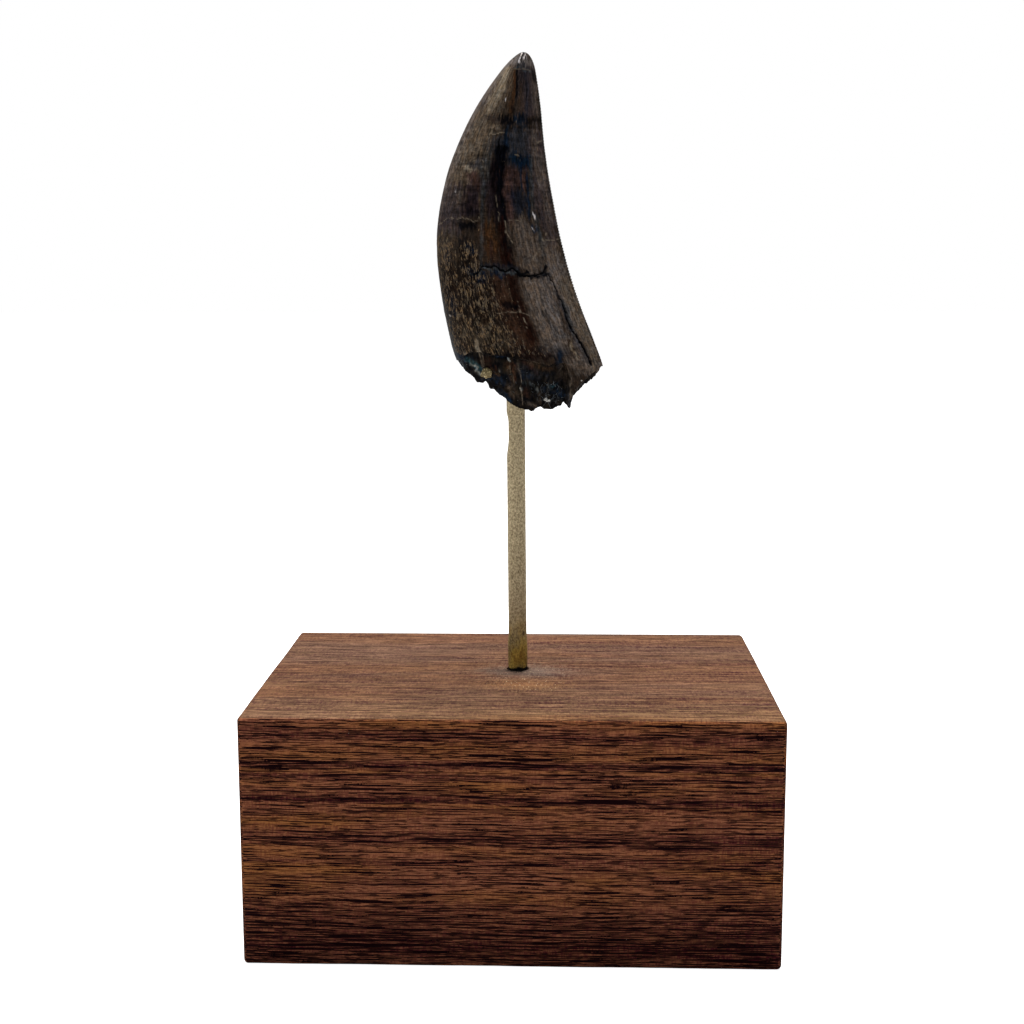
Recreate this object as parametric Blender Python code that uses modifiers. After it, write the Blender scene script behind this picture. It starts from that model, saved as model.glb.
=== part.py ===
"""A fossil tyrannosaur tooth held upright on a brass rod that stands in a walnut block.

Metres, +Z up. The origin is the centre of the block's underside, +X runs along the block's long side and
-Y is the front, where the tooth shows the side it is displayed by. The tooth has its own frame, in
millimetres above its lowest splinter and from the rod's axis: the distal, serrated edge is at +X.
"""

import math

import bmesh
import bpy
from mathutils import Vector, noise

MM = 0.001

# Walnut block
BLOCK_LENGTH = 80.0 * MM
BLOCK_DEPTH = 55.0 * MM
BLOCK_HEIGHT = 38.1 * MM
BLOCK_EDGE_ROUND = 0.7 * MM
BLOCK_EDGE_SEGMENTS = 3

# Brass rod, drilled into the block and into the tooth
ROD_DIAMETER = 3.0 * MM
ROD_X = 0.25 * MM
ROD_Y = 2.0 * MM
ROD_LEAN = math.radians(0.4)  # towards -X, about where it leaves the block
ROD_FREE_LENGTH = 42.35 * MM  # block's top to the tooth's lowest splinter
ROD_IN_BLOCK = 20.0 * MM
ROD_IN_TOOTH = 12.5 * MM
ROD_END_CHAMFER = 0.3 * MM
ROD_SIDES = 32
GLUE_GAP = 0.3 * MM  # all round the rod, and past its ends, in both drilled holes
SCALLOP_DEPTH = 0.30 * MM  # the shallow hollow that the pliers left on the rod's left side
SCALLOP_HEIGHT = 78.3 * MM
SCALLOP_RADIUS = 50.0 * MM
SCALLOP_SIDES = 160

# Tooth crown, from the tip down: height, mesial edge and distal edge in mm, thickness over width
CROWN_STATIONS = (
    (55.7, 0.93, 0.93, 0.80),
    (55.25, -0.10, 1.85, 0.80),
    (53.9, -1.65, 2.55, 0.72),
    (51.15, -3.85, 3.10, 0.66),
    (47.0, -6.62, 3.65, 0.62),
    (41.5, -9.36, 4.20, 0.60),
    (36.0, -11.32, 5.02, 0.59),
    (27.6, -12.70, 6.68, 0.58),
    (19.2, -12.17, 9.18, 0.58),
    (10.7, -10.53, 12.50, 0.58),
    (7.8, -9.60, 13.40, 0.57),
    (0.0, -6.30, 15.90, 0.54),
)
CROWN_HEIGHT = CROWN_STATIONS[0][0]
MESIAL_ROUND = 0.50  # power of the section's blunt end
DISTAL_TAPER = 1.0  # power of the section's sharp end
FRONT_SHARE = 0.53  # of the thickness lies in front of the edges
LEAN_BACK = 1.6  # mm that the tip leans towards +Y
FLUTE_DEPTH = 0.30  # mm, a shallow hollow down the distal third of each face
FLUTE_CENTRE = 0.56
FLUTE_WIDTH = 0.20
SWELL = 0.16  # mm, the crown's slow unevenness

# Denticles of the distal carina
DENTICLE_PITCH = 0.455
DENTICLE_DEPTH = 0.16
DENTICLES_FROM = 7.9
DENTICLES_TO = 52.5
CARINA_STRIP = 0.55  # mm from the edge to the nearest column of points

# Broken underside: where the front rim of the break lies, along the tooth, in mm
BREAK_LINE = (
    (-9.48, 8.05),
    (-8.36, 6.80),
    (-6.63, 5.20),
    (-6.30, 4.60),
    (-4.91, 4.80),
    (-4.05, 3.75),
    (-2.91, 3.05),
    (-1.70, 1.85),
    (0.12, 0.70),
    (2.33, 0.00),
    (3.32, 0.70),
    (5.32, 0.28),
    (6.87, 0.88),
    (7.25, 1.67),
    (8.30, 0.50),
    (8.86, 2.35),
    (10.60, 4.25),
    (11.90, 4.80),
    (12.60, 5.90),
    (13.35, 7.00),
)
FRONT_MARGIN = (
    (-9.4, 8.1),
    (-8.4, 8.8),
    (-7.2, 9.6),
    (-5.6, 9.6),
    (-4.0, 9.1),
    (-1.7, 9.0),
    (0.0, 8.6),
    (1.7, 8.4),
    (4.0, 7.7),
    (5.1, 7.4),
    (6.0, 7.9),
    (7.7, 7.7),
    (8.3, 7.1),
    (8.8, 4.4),
    (9.1, 3.4),
    (10.5, 4.9),
    (13.3, 7.2),
)
BACK_MARGIN = (
    (-9.4, 8.2),
    (-7.6, 9.2),
    (-4.8, 10.6),
    (0.8, 9.2),
    (3.0, 9.9),
    (6.4, 10.6),
    (9.6, 8.4),
    (13.3, 7.6),
)
BACK_RIM_LIFT = 1.6  # the rear rim is this much higher than the front one
RIM_FRONT = -0.40  # the two rims, as shares of the local half thickness
RIM_BACK = 0.46
PULP_HOLLOW = 1.8  # mm, the hollow between the rims
FACET_SIZE = 2.6
FACET_RELIEF = 0.55

# Cracks of the front face that are open enough to feel, as x and height in mm
CRACKS = {
    "cross_crack": ((-6.3, 21.5), (-5.2, 23.0), (-4.0, 23.15), (-2.9, 23.0), (-0.9, 22.2), (0.0, 21.5),
                    (1.0, 21.3), (2.1, 21.45), (3.3, 21.8), (4.4, 22.5)),
    "edge_crack": ((4.7, 21.9), (5.5, 20.7), (6.15, 19.15), (8.05, 14.5), (8.85, 12.8), (9.65, 11.35),
                   (10.9, 8.7), (11.5, 6.6)),
}
CRACK_WIDTH = 0.45

# Calcite nodule in the chipped mesial corner
NODULE_AT = (-4.6, 6.3)
NODULE_RADIUS = 0.75

BORE_X = -0.34  # mm, where the leaning rod is when it reaches the tooth

# Points of the tooth's mesh
COLUMNS_A_SIDE = 36
CROWN_ROWS = 36
BREAK_ROWS = 9
BORE_ROWS = 2


def clear_scene():
    for obj in list(bpy.data.objects):
        bpy.data.objects.remove(obj)


def new_collection(name):
    collection = bpy.data.collections.new(name)
    bpy.context.scene.collection.children.link(collection)
    return collection


def move_to(obj, collection):
    for holder in list(obj.users_collection):
        holder.objects.unlink(obj)
    collection.objects.link(obj)


def finish_material(name, colour, roughness, metallic=0.0):
    material = bpy.data.materials.new(name)
    material.use_nodes = True
    shader = material.node_tree.nodes["Principled BSDF"]
    shader.inputs["Base Color"].default_value = (*colour, 1.0)
    shader.inputs["Roughness"].default_value = roughness
    shader.inputs["Metallic"].default_value = metallic
    return material


def mark_cutter(obj, collection):
    obj.hide_render = True
    obj.display_type = "WIRE"
    move_to(obj, collection)


def add_boolean(obj, other, operation="DIFFERENCE"):
    boolean = obj.modifiers.new(f"{operation.lower()} {other.name}", "BOOLEAN")
    boolean.operation = operation
    boolean.object = other
    boolean.solver = "EXACT"


def add_rod_cylinder(name, radius, bottom, top):
    """A cylinder along the rod's leaning axis, between two heights."""
    middle = (bottom + top) / 2
    bpy.ops.mesh.primitive_cylinder_add(
        vertices=ROD_SIDES,
        radius=radius,
        depth=(top - bottom) / math.cos(ROD_LEAN),
        location=(rod_x(middle), ROD_Y, middle),
        rotation=(0.0, -ROD_LEAN, 0.0),
    )
    obj = bpy.context.object
    obj.name = name
    return obj


def rod_x(height):
    """Where the rod's axis is at a height above the ground."""
    return ROD_X - math.tan(ROD_LEAN) * (height - BLOCK_HEIGHT)


def shade_round(obj, degrees=35.0):
    obj.data.shade_smooth()
    obj.data.set_sharp_from_angle(angle=math.radians(degrees))


def between(points, x):
    """Straight-line value at x of a row of (x, value) points, held at both ends."""
    if x <= points[0][0]:
        return points[0][1]
    for (x0, v0), (x1, v1) in zip(points, points[1:]):
        if x <= x1:
            return v0 + (v1 - v0) * (x - x0) / (x1 - x0)
    return points[-1][1]


def smooth_step(low, high, x):
    share = min(1.0, max(0.0, (x - low) / (high - low)))
    return share * share * (3.0 - 2.0 * share)


# ---- the tooth's shape, all in millimetres in its own frame ----


def down_share(height):
    """0 at the tip to 1 at the lowest splinter. The root makes the tip round."""
    return math.sqrt(max(0.0, 1.0 - height / CROWN_HEIGHT))


def crown_section(height):
    """Mesial edge, distal edge and thickness at a height, on a smooth curve through the stations."""
    share = down_share(height)
    knots = [down_share(station[0]) for station in CROWN_STATIONS]
    last = len(knots) - 2
    i = next((k for k in range(last) if share <= knots[k + 1]), last)
    span = knots[i + 1] - knots[i]
    t = (share - knots[i]) / span

    def slope(k, column):
        before, after = max(0, k - 1), min(len(knots) - 1, k + 1)
        rise = CROWN_STATIONS[after][column] - CROWN_STATIONS[before][column]
        return rise / (knots[after] - knots[before]) * span

    values = []
    for column in (1, 2, 3):
        start, end = CROWN_STATIONS[i][column], CROWN_STATIONS[i + 1][column]
        values.append(
            (2 * t**3 - 3 * t**2 + 1) * start
            + (t**3 - 2 * t**2 + t) * slope(i, column)
            + (3 * t**2 - 2 * t**3) * end
            + (t**3 - t**2) * slope(i + 1, column)
        )
    mesial, distal, ratio = values
    return mesial, distal, ratio * (distal - mesial)


def section_profile(u):
    """Half thickness, 0 to 1, across the section from the mesial edge at -1 to the distal edge at 1."""
    widest = (MESIAL_ROUND - DISTAL_TAPER) / (MESIAL_ROUND + DISTAL_TAPER)
    most = (1 + widest) ** MESIAL_ROUND * (1 - widest) ** DISTAL_TAPER
    return max(0.0, 1 + u) ** MESIAL_ROUND * max(0.0, 1 - u) ** DISTAL_TAPER / most


def crown_relief(x, side, height, u):
    """Hollows and swells of the crown's faces, outwards."""
    flute = math.exp(-(((u - FLUTE_CENTRE) / FLUTE_WIDTH) ** 2)) * smooth_step(50.0, 30.0, height)
    slow = noise.noise(Vector((x * 0.16, side * 7.0, height * 0.09)))
    return (SWELL * slow - FLUTE_DEPTH * flute) * section_profile(u)


def crown_point(height, u, side):
    """A point of the crown's skin. side is -1 for the front face and 1 for the back one."""
    mesial, distal, thickness = crown_section(height)
    x = (mesial + distal) / 2 + u * (distal - mesial) / 2
    half = thickness * (FRONT_SHARE if side < 0 else 1 - FRONT_SHARE) * section_profile(u)
    lean = LEAN_BACK * (max(0.0, height) / CROWN_HEIGHT) ** 2
    return Vector((x, lean + side * (half + crown_relief(x, side, height, u)), height))


def facets(x, y):
    """Tilted flats of broken dentine: each cell of a Voronoi pattern is a plane of its own."""
    _, cells = noise.voronoi(Vector((x / FACET_SIZE, y / FACET_SIZE, 3.7)))
    tilt = noise.cell_vector(cells[0] * 31.0)
    across = Vector((x / FACET_SIZE, y / FACET_SIZE, 3.7)) - cells[0]
    return FACET_RELIEF * (tilt.z + 1.4 * (tilt.x * across.x + tilt.y * across.y))


def broken_rise(share):
    """From a rim, 0, to the margin of the enamel, 1: a slope, a steep face and a ledge under the enamel."""
    return 0.30 * smooth_step(0.0, 0.5, share) + 0.60 * smooth_step(0.32, 0.78, share) + 0.10 * share


def break_height(x, y):
    """Height of the broken underside over a point of the tooth's plan."""
    mesial, distal, thickness = crown_section(8.0)
    u = min(0.98, max(-0.98, (2 * x - mesial - distal) / (distal - mesial)))
    half = thickness / 2 * section_profile(u)
    across = max(-1.0, min(1.0, y / half))
    rim = between(BREAK_LINE, x)
    roughness = facets(x, y)
    if across < RIM_FRONT:
        share = (RIM_FRONT - across) / (1 + RIM_FRONT)
        rise = (between(FRONT_MARGIN, x) - rim) * broken_rise(share)
        return rim + rise + roughness * math.sin(math.pi * min(1.0, share))
    back_rim = rim + BACK_RIM_LIFT * smooth_step(0.0, 3.0, 7.5 - rim)
    if across > RIM_BACK:
        share = (across - RIM_BACK) / (1 - RIM_BACK)
        rise = (between(BACK_MARGIN, x) - back_rim) * broken_rise(share)
        return back_rim + rise + roughness * 0.8
    share = (across - RIM_FRONT) / (RIM_BACK - RIM_FRONT)
    hollow = PULP_HOLLOW * math.sin(math.pi * share) * smooth_step(0.0, 3.0, 7.5 - rim)
    return rim + (back_rim - rim) * share + hollow + roughness * share


def break_depth(x, height):
    """How far forward the front slope of the break lies at a height."""
    near, far = -8.0, -1.0
    for _ in range(24):
        middle = (near + far) / 2
        if break_height(x, middle) > height:
            near = middle
        else:
            far = middle
    return (near + far) / 2


def margin_height(u, side):
    """Height at which the crown's skin ends, where it meets the break."""
    low, high = -1.5, 18.0
    for _ in range(30):
        middle = (low + high) / 2
        point = crown_point(middle, u, side)
        if middle > break_height(point.x, point.y):
            high = middle
        else:
            low = middle
    return (low + high) / 2


def columns():
    """(u, side) of each column of points round the tooth, starting at the mesial edge, front face first."""
    mesial, distal, _ = crown_section(25.0)
    strip = 1.0 - 2 * CARINA_STRIP / (distal - mesial)
    last = math.acos(-strip)
    face = [-math.cos(last * i / COLUMNS_A_SIDE) for i in range(COLUMNS_A_SIDE + 1)]
    front = [(u, -1) for u in face] + [(1.0, -1)]
    back = [(u, 1) for u in reversed(face[1:])]
    return front + back


def tooth_rings():
    """Rings of points from the tip, down the crown, across the break and up the drilled hole."""
    around = columns()
    margins = [margin_height(u, side) for u, side in around]
    rings = []
    for row in range(1, CROWN_ROWS + 1):
        ring = []
        for (u, side), margin in zip(around, margins):
            share = row / CROWN_ROWS * down_share(margin)
            ring.append(crown_point(CROWN_HEIGHT * (1 - share**2), u, side))
        rings.append(ring)
    bore = (ROD_DIAMETER / 2 + GLUE_GAP) / MM
    mouth = []
    for u, side in around:
        turn = math.acos(-u)
        mouth.append(Vector((BORE_X - math.cos(turn) * bore, side * math.sin(turn) * bore, 0.0)))
    for row in range(1, BREAK_ROWS + 1):
        share = row / BREAK_ROWS
        ring = []
        for edge, inner in zip(rings[CROWN_ROWS - 1], mouth):
            x = edge.x + (inner.x - edge.x) * share
            y = edge.y + (inner.y - edge.y) * share
            ring.append(Vector((x, y, break_height(x, y))))
        rings.append(ring)
    bore_top = (ROD_IN_TOOTH + GLUE_GAP) / MM
    for row in range(1, BORE_ROWS + 1):
        share = row / BORE_ROWS
        ring = []
        for point in rings[CROWN_ROWS + BREAK_ROWS - 1]:
            ring.append(Vector((point.x, point.y, point.z + (bore_top - point.z) * share)))
        rings.append(ring)
    return rings


def loft(bm, rings):
    """Closes a row of rings into one skin, with a fan of faces at each end."""
    rows = [[bm.verts.new(point * MM) for point in ring] for ring in rings]
    for upper, lower in zip(rows, rows[1:]):
        for i in range(len(upper)):
            j = (i + 1) % len(upper)
            bm.faces.new((upper[i], lower[i], lower[j], upper[j]))
    tip = bm.verts.new(crown_point(CROWN_HEIGHT, 0.0, 1) * MM)
    inside = bm.verts.new(Vector((BORE_X * MM, 0.0, ROD_IN_TOOTH + GLUE_GAP)))
    for i in range(len(rows[0])):
        j = (i + 1) % len(rows[0])
        bm.faces.new((tip, rows[0][i], rows[0][j]))
        bm.faces.new((rows[-1][i], inside, rows[-1][j]))
    return rows


def cut_denticles(bm, rows):
    """Splits the distal edge into half pitches and draws every second point back, as between denticles."""
    column = COLUMNS_A_SIDE + 1
    for upper, lower in zip(rows[: CROWN_ROWS - 1], rows[1:CROWN_ROWS]):
        top, bottom = upper[column], lower[column]
        if bottom.co.z < DENTICLES_FROM * MM or top.co.z > DENTICLES_TO * MM:
            continue
        pieces = 2 * max(1, round((top.co - bottom.co).length / MM / DENTICLE_PITCH))
        edge = bm.edges.get((top, bottom))
        above = top
        for left in range(pieces, 1, -1):
            _, point = bmesh.utils.edge_split(edge, above, 1.0 / left)
            if left % 2 == 0:
                point.co.x -= DENTICLE_DEPTH * MM
            edge = bm.edges.get((point, bottom))
            above = point


def tube_along(name, points, radius, collection):
    """A tube along a line, made a mesh so that it can cut."""
    data = bpy.data.curves.new(name, "CURVE")
    data.dimensions = "3D"
    data.bevel_depth = radius
    data.bevel_resolution = 1
    data.use_fill_caps = True
    spline = data.splines.new("POLY")
    spline.points.add(len(points) - 1)
    for place, point in zip(spline.points, points):
        place.co = (*point, 1.0)
    curve = bpy.data.objects.new(name, data)
    bpy.context.scene.collection.objects.link(curve)
    graph = bpy.context.evaluated_depsgraph_get()
    mesh = bpy.data.meshes.new_from_object(curve.evaluated_get(graph))
    tube = bpy.data.objects.new(f"{name}_tube", mesh)
    bpy.context.scene.collection.objects.link(tube)
    bm = bmesh.new()
    bm.from_mesh(mesh)
    bmesh.ops.remove_doubles(bm, verts=bm.verts, dist=0.00001)
    bmesh.ops.recalc_face_normals(bm, faces=bm.faces)
    bm.to_mesh(mesh)
    bm.free()
    bpy.data.objects.remove(curve)
    mark_cutter(tube, collection)
    return tube


def crack_path(points):
    """The crack's points, laid on the front face."""
    path = []
    for x, height in points:
        mesial, distal, _ = crown_section(height)
        u = (2 * x - mesial - distal) / (distal - mesial)
        path.append(crown_point(height, u, -1) * MM)
    return path


def make_block(parts, cutters):
    bpy.ops.mesh.primitive_cube_add(size=1.0, location=(0.0, 0.0, BLOCK_HEIGHT / 2))
    block = bpy.context.object
    block.name = "walnut_block"
    block.scale = (BLOCK_LENGTH, BLOCK_DEPTH, BLOCK_HEIGHT)
    bpy.ops.object.transform_apply(location=False, rotation=False, scale=True)
    bevel = block.modifiers.new("eased edges", "BEVEL")
    bevel.width = BLOCK_EDGE_ROUND
    bevel.segments = BLOCK_EDGE_SEGMENTS
    hole_radius = ROD_DIAMETER / 2 + GLUE_GAP
    hole_bottom = BLOCK_HEIGHT - ROD_IN_BLOCK - GLUE_GAP
    drill = add_rod_cylinder("block_drill", hole_radius, hole_bottom, BLOCK_HEIGHT + 5 * MM)
    mark_cutter(drill, cutters)
    add_boolean(block, drill)
    shade_round(block)
    block.data.materials.append(finish_material("walnut", (0.18, 0.075, 0.036), 0.5))
    move_to(block, parts)


def make_rod(parts, cutters):
    top = BLOCK_HEIGHT + ROD_FREE_LENGTH + ROD_IN_TOOTH
    rod = add_rod_cylinder("brass_rod", ROD_DIAMETER / 2, BLOCK_HEIGHT - ROD_IN_BLOCK, top)
    bevel = rod.modifiers.new("filed ends", "BEVEL")
    bevel.width = ROD_END_CHAMFER
    bevel.segments = 1
    bevel.limit_method = "ANGLE"
    bevel.angle_limit = math.radians(60)
    reach = SCALLOP_DEPTH - ROD_DIAMETER / 2 - SCALLOP_RADIUS
    bpy.ops.mesh.primitive_cylinder_add(
        vertices=SCALLOP_SIDES,
        radius=SCALLOP_RADIUS,
        depth=4 * ROD_DIAMETER,
        location=(rod_x(SCALLOP_HEIGHT) + reach, ROD_Y, SCALLOP_HEIGHT),
        rotation=(math.radians(90), 0.0, 0.0),
    )
    scallop = bpy.context.object
    scallop.name = "plier_scallop"
    mark_cutter(scallop, cutters)
    add_boolean(rod, scallop)
    shade_round(rod)
    rod.data.materials.append(finish_material("brass", (0.42, 0.33, 0.19), 0.45, 1.0))
    move_to(rod, parts)


def make_tooth(parts, cutters):
    seat = Vector((ROD_X, ROD_Y, BLOCK_HEIGHT + ROD_FREE_LENGTH))
    bm = bmesh.new()
    rows = loft(bm, tooth_rings())
    cut_denticles(bm, rows)
    bmesh.ops.triangulate(bm, faces=bm.faces)
    bmesh.ops.recalc_face_normals(bm, faces=bm.faces)
    mesh = bpy.data.meshes.new("tooth")
    bm.to_mesh(mesh)
    bm.free()
    tooth = bpy.data.objects.new("tooth", mesh)
    tooth.location = seat
    parts.objects.link(tooth)
    for name, points in CRACKS.items():
        tube = tube_along(name, crack_path(points), CRACK_WIDTH / 2 * MM, cutters)
        tube.location = seat
        add_boolean(tooth, tube)
    x, height = NODULE_AT
    bpy.ops.mesh.primitive_ico_sphere_add(subdivisions=2, radius=NODULE_RADIUS * MM)
    nodule = bpy.context.object
    nodule.name = "calcite_nodule"
    nodule.location = seat + Vector((x, break_depth(x, height), height)) * MM
    mark_cutter(nodule, cutters)
    add_boolean(tooth, nodule, "UNION")
    shade_round(tooth, 40.0)
    tooth.data.materials.append(finish_material("fossil", (0.045, 0.030, 0.023), 0.35))


def main():
    clear_scene()
    parts = new_collection("tyrannosaur_tooth_on_stand")
    cutters = new_collection("cutters")
    make_block(parts, cutters)
    make_rod(parts, cutters)
    make_tooth(parts, cutters)


main()
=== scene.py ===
"""A fossil tyrannosaur tooth on its brass rod and walnut block, in finer detail than the CAD model.

The CAD frame is in metres: +Z up, -Y the front. The tooth is shaped in its own frame, in millimetres from
the rod's foot and above the tooth's lowest splinter, with its serrated, distal edge at +X.
"""

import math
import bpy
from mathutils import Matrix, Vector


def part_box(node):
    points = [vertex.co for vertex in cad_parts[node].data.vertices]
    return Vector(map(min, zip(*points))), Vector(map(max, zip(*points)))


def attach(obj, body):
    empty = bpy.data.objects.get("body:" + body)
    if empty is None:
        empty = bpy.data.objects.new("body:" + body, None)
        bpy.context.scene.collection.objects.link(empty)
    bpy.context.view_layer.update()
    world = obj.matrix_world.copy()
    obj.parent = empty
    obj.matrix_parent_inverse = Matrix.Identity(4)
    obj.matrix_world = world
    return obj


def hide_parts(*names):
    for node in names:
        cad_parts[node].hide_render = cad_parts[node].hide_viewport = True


bl_info = {
    "name": "Fossil tooth on a stand",
    "version": (1, 0, 0),
    "blender": (4, 5, 0),
    "location": "3D View > Sidebar > Fossil",
    "description": "Builds a fossil tyrannosaur tooth, its brass rod and its walnut block, and lights them",
    "category": "Add Mesh",
}

import bmesh
import bpy
import numpy as np
from bpy.props import FloatProperty, FloatVectorProperty, IntProperty
from mathutils import Matrix, Vector, noise
from mathutils.bvhtree import BVHTree

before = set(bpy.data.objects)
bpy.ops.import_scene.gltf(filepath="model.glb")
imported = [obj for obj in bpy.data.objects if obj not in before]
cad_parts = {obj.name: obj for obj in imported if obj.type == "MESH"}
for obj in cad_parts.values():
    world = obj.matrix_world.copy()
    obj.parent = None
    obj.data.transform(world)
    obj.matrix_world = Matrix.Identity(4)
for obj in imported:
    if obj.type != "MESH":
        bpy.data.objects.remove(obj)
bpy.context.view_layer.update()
BLOCK_LOW, BLOCK_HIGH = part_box("walnut_block")

MM = 0.001

# Where the rod stands and how it leans, as in the solids
ROD_X = 0.25 * MM
ROD_Y = 2.0 * MM
ROD_LEAN = math.radians(0.4)
ROD_RADIUS = 1.5 * MM
ROD_IN_BLOCK = 20.0 * MM
ROD_FREE_LENGTH = 42.35 * MM
ROD_IN_TOOTH = 12.5 * MM
ROD_END_CHAMFER = 0.3 * MM
GLUE_GAP = 0.3 * MM
NIP_DEPTH = 0.34 * MM
NIP_LOW = 71.8 * MM
NIP_HIGH = 81.2 * MM
NIP_LOW_RAMP = 4.4 * MM
NIP_HIGH_RAMP = 2.6 * MM
FOOT_SWELL = 0.09 * MM  # added to the radius from the rod's lower end up to FOOT_SWELL_TOP
FOOT_SWELL_TOP = BLOCK_HIGH[2] + 4 * MM
FOOT_SWELL_END = BLOCK_HIGH[2] + 6 * MM
FINE_GRIT = 0.012 * MM
COARSE_GRIT = 0.016 * MM
GRIT_SINK = 0.014 * MM  # how far in from the rod's radius the grit is set
TOOTH_SEAT = Vector((ROD_X, ROD_Y, BLOCK_HIGH[2] + ROD_FREE_LENGTH))

# Growth rings of the walnut: the pith lies below the block, and each ring meets the front face at
# a height in mm, where the wood is as dark as its second number, from 0 to 1. The rings low on the
# front are darker, partly the wood's figure and partly painted shade towards the bottom.
PITH_Y = 8.0 * MM
PITH_Z = -80.0 * MM
GROWTH_RINGS = (
    (-6.0, 0.55), (0.0, 0.62), (3.5, 0.80), (6.0, 0.70), (9.0, 0.60), (11.0, 0.42), (12.4, 0.30),
    (13.5, 0.36), (15.2, 0.24), (16.4, 0.52), (17.2, 0.34), (18.1, 0.18), (19.0, 0.50), (19.8, 0.74),
    (20.8, 0.50), (22.6, 0.25), (24.4, 0.44), (25.0, 0.36), (25.7, 0.92), (26.5, 0.45), (28.2, 0.24),
    (29.2, 0.60), (30.1, 0.24), (31.0, 0.78), (32.0, 0.34), (33.4, 0.32), (35.5, 0.60), (37.0, 0.35),
    (38.1, 0.30),
)

# Tooth crown, from the tip down: height, mesial edge and distal edge in mm, thickness over width
CROWN_STATIONS = np.array((
    (55.7, 0.93, 0.93, 0.80),
    (55.25, -0.10, 1.85, 0.80),
    (53.9, -1.65, 2.55, 0.72),
    (51.15, -3.85, 3.10, 0.66),
    (47.0, -6.62, 3.65, 0.62),
    (41.5, -9.36, 4.20, 0.60),
    (36.0, -11.32, 5.02, 0.59),
    (27.6, -12.70, 6.68, 0.58),
    (19.2, -12.17, 9.02, 0.58),
    (10.7, -10.53, 12.28, 0.58),
    (7.8, -9.60, 13.40, 0.57),
    (0.0, -6.30, 15.90, 0.54),
))
CROWN_HEIGHT = CROWN_STATIONS[0][0]
MESIAL_ROUND = 0.50  # power of the section's blunt end
DISTAL_TAPER = 1.0  # power of the section's sharp end
FRONT_SHARE = 0.53  # of the thickness lies in front of the edges
LEAN_BACK = 1.6
FLUTE_DEPTH = 0.30
FLUTE_CENTRE = 0.56
FLUTE_WIDTH = 0.20
SWELL = 0.16
BORE_X = -0.34

# Broken underside, as in the solids: heights in mm along the tooth
BREAK_LINE = (
    (-9.48, 8.05), (-8.36, 6.80), (-6.63, 5.20), (-6.30, 4.60), (-4.91, 4.80), (-4.05, 3.75),
    (-2.91, 3.05), (-1.70, 1.85), (0.12, 0.70), (2.33, 0.00), (3.32, 0.70), (5.32, 0.28),
    (6.87, 0.88), (7.25, 1.67), (8.30, 0.50), (8.86, 2.35), (10.60, 4.25), (11.90, 4.80),
    (12.60, 5.90), (13.35, 7.00),
)
FRONT_MARGIN = (
    (-9.4, 8.1), (-8.4, 8.8), (-7.2, 9.6), (-5.6, 9.6), (-4.0, 9.1), (-1.7, 9.0), (0.0, 8.6),
    (1.7, 8.4), (4.0, 7.7), (5.1, 7.4), (6.0, 7.9), (7.7, 7.7), (8.3, 7.1), (8.8, 4.4),
    (9.1, 3.4), (10.5, 4.9), (13.3, 7.2),
)
BACK_MARGIN = (
    (-9.4, 8.2), (-7.6, 9.2), (-4.8, 10.6), (0.8, 9.2), (3.0, 9.9), (6.4, 10.6), (9.6, 8.4),
    (13.3, 7.6),
)
BACK_RIM_LIFT = 1.6
RIM_FRONT = -0.40
RIM_BACK = 0.46
PULP_HOLLOW = 1.8
FACET_SIZE = 2.6
FACET_RELIEF = 0.55

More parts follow.
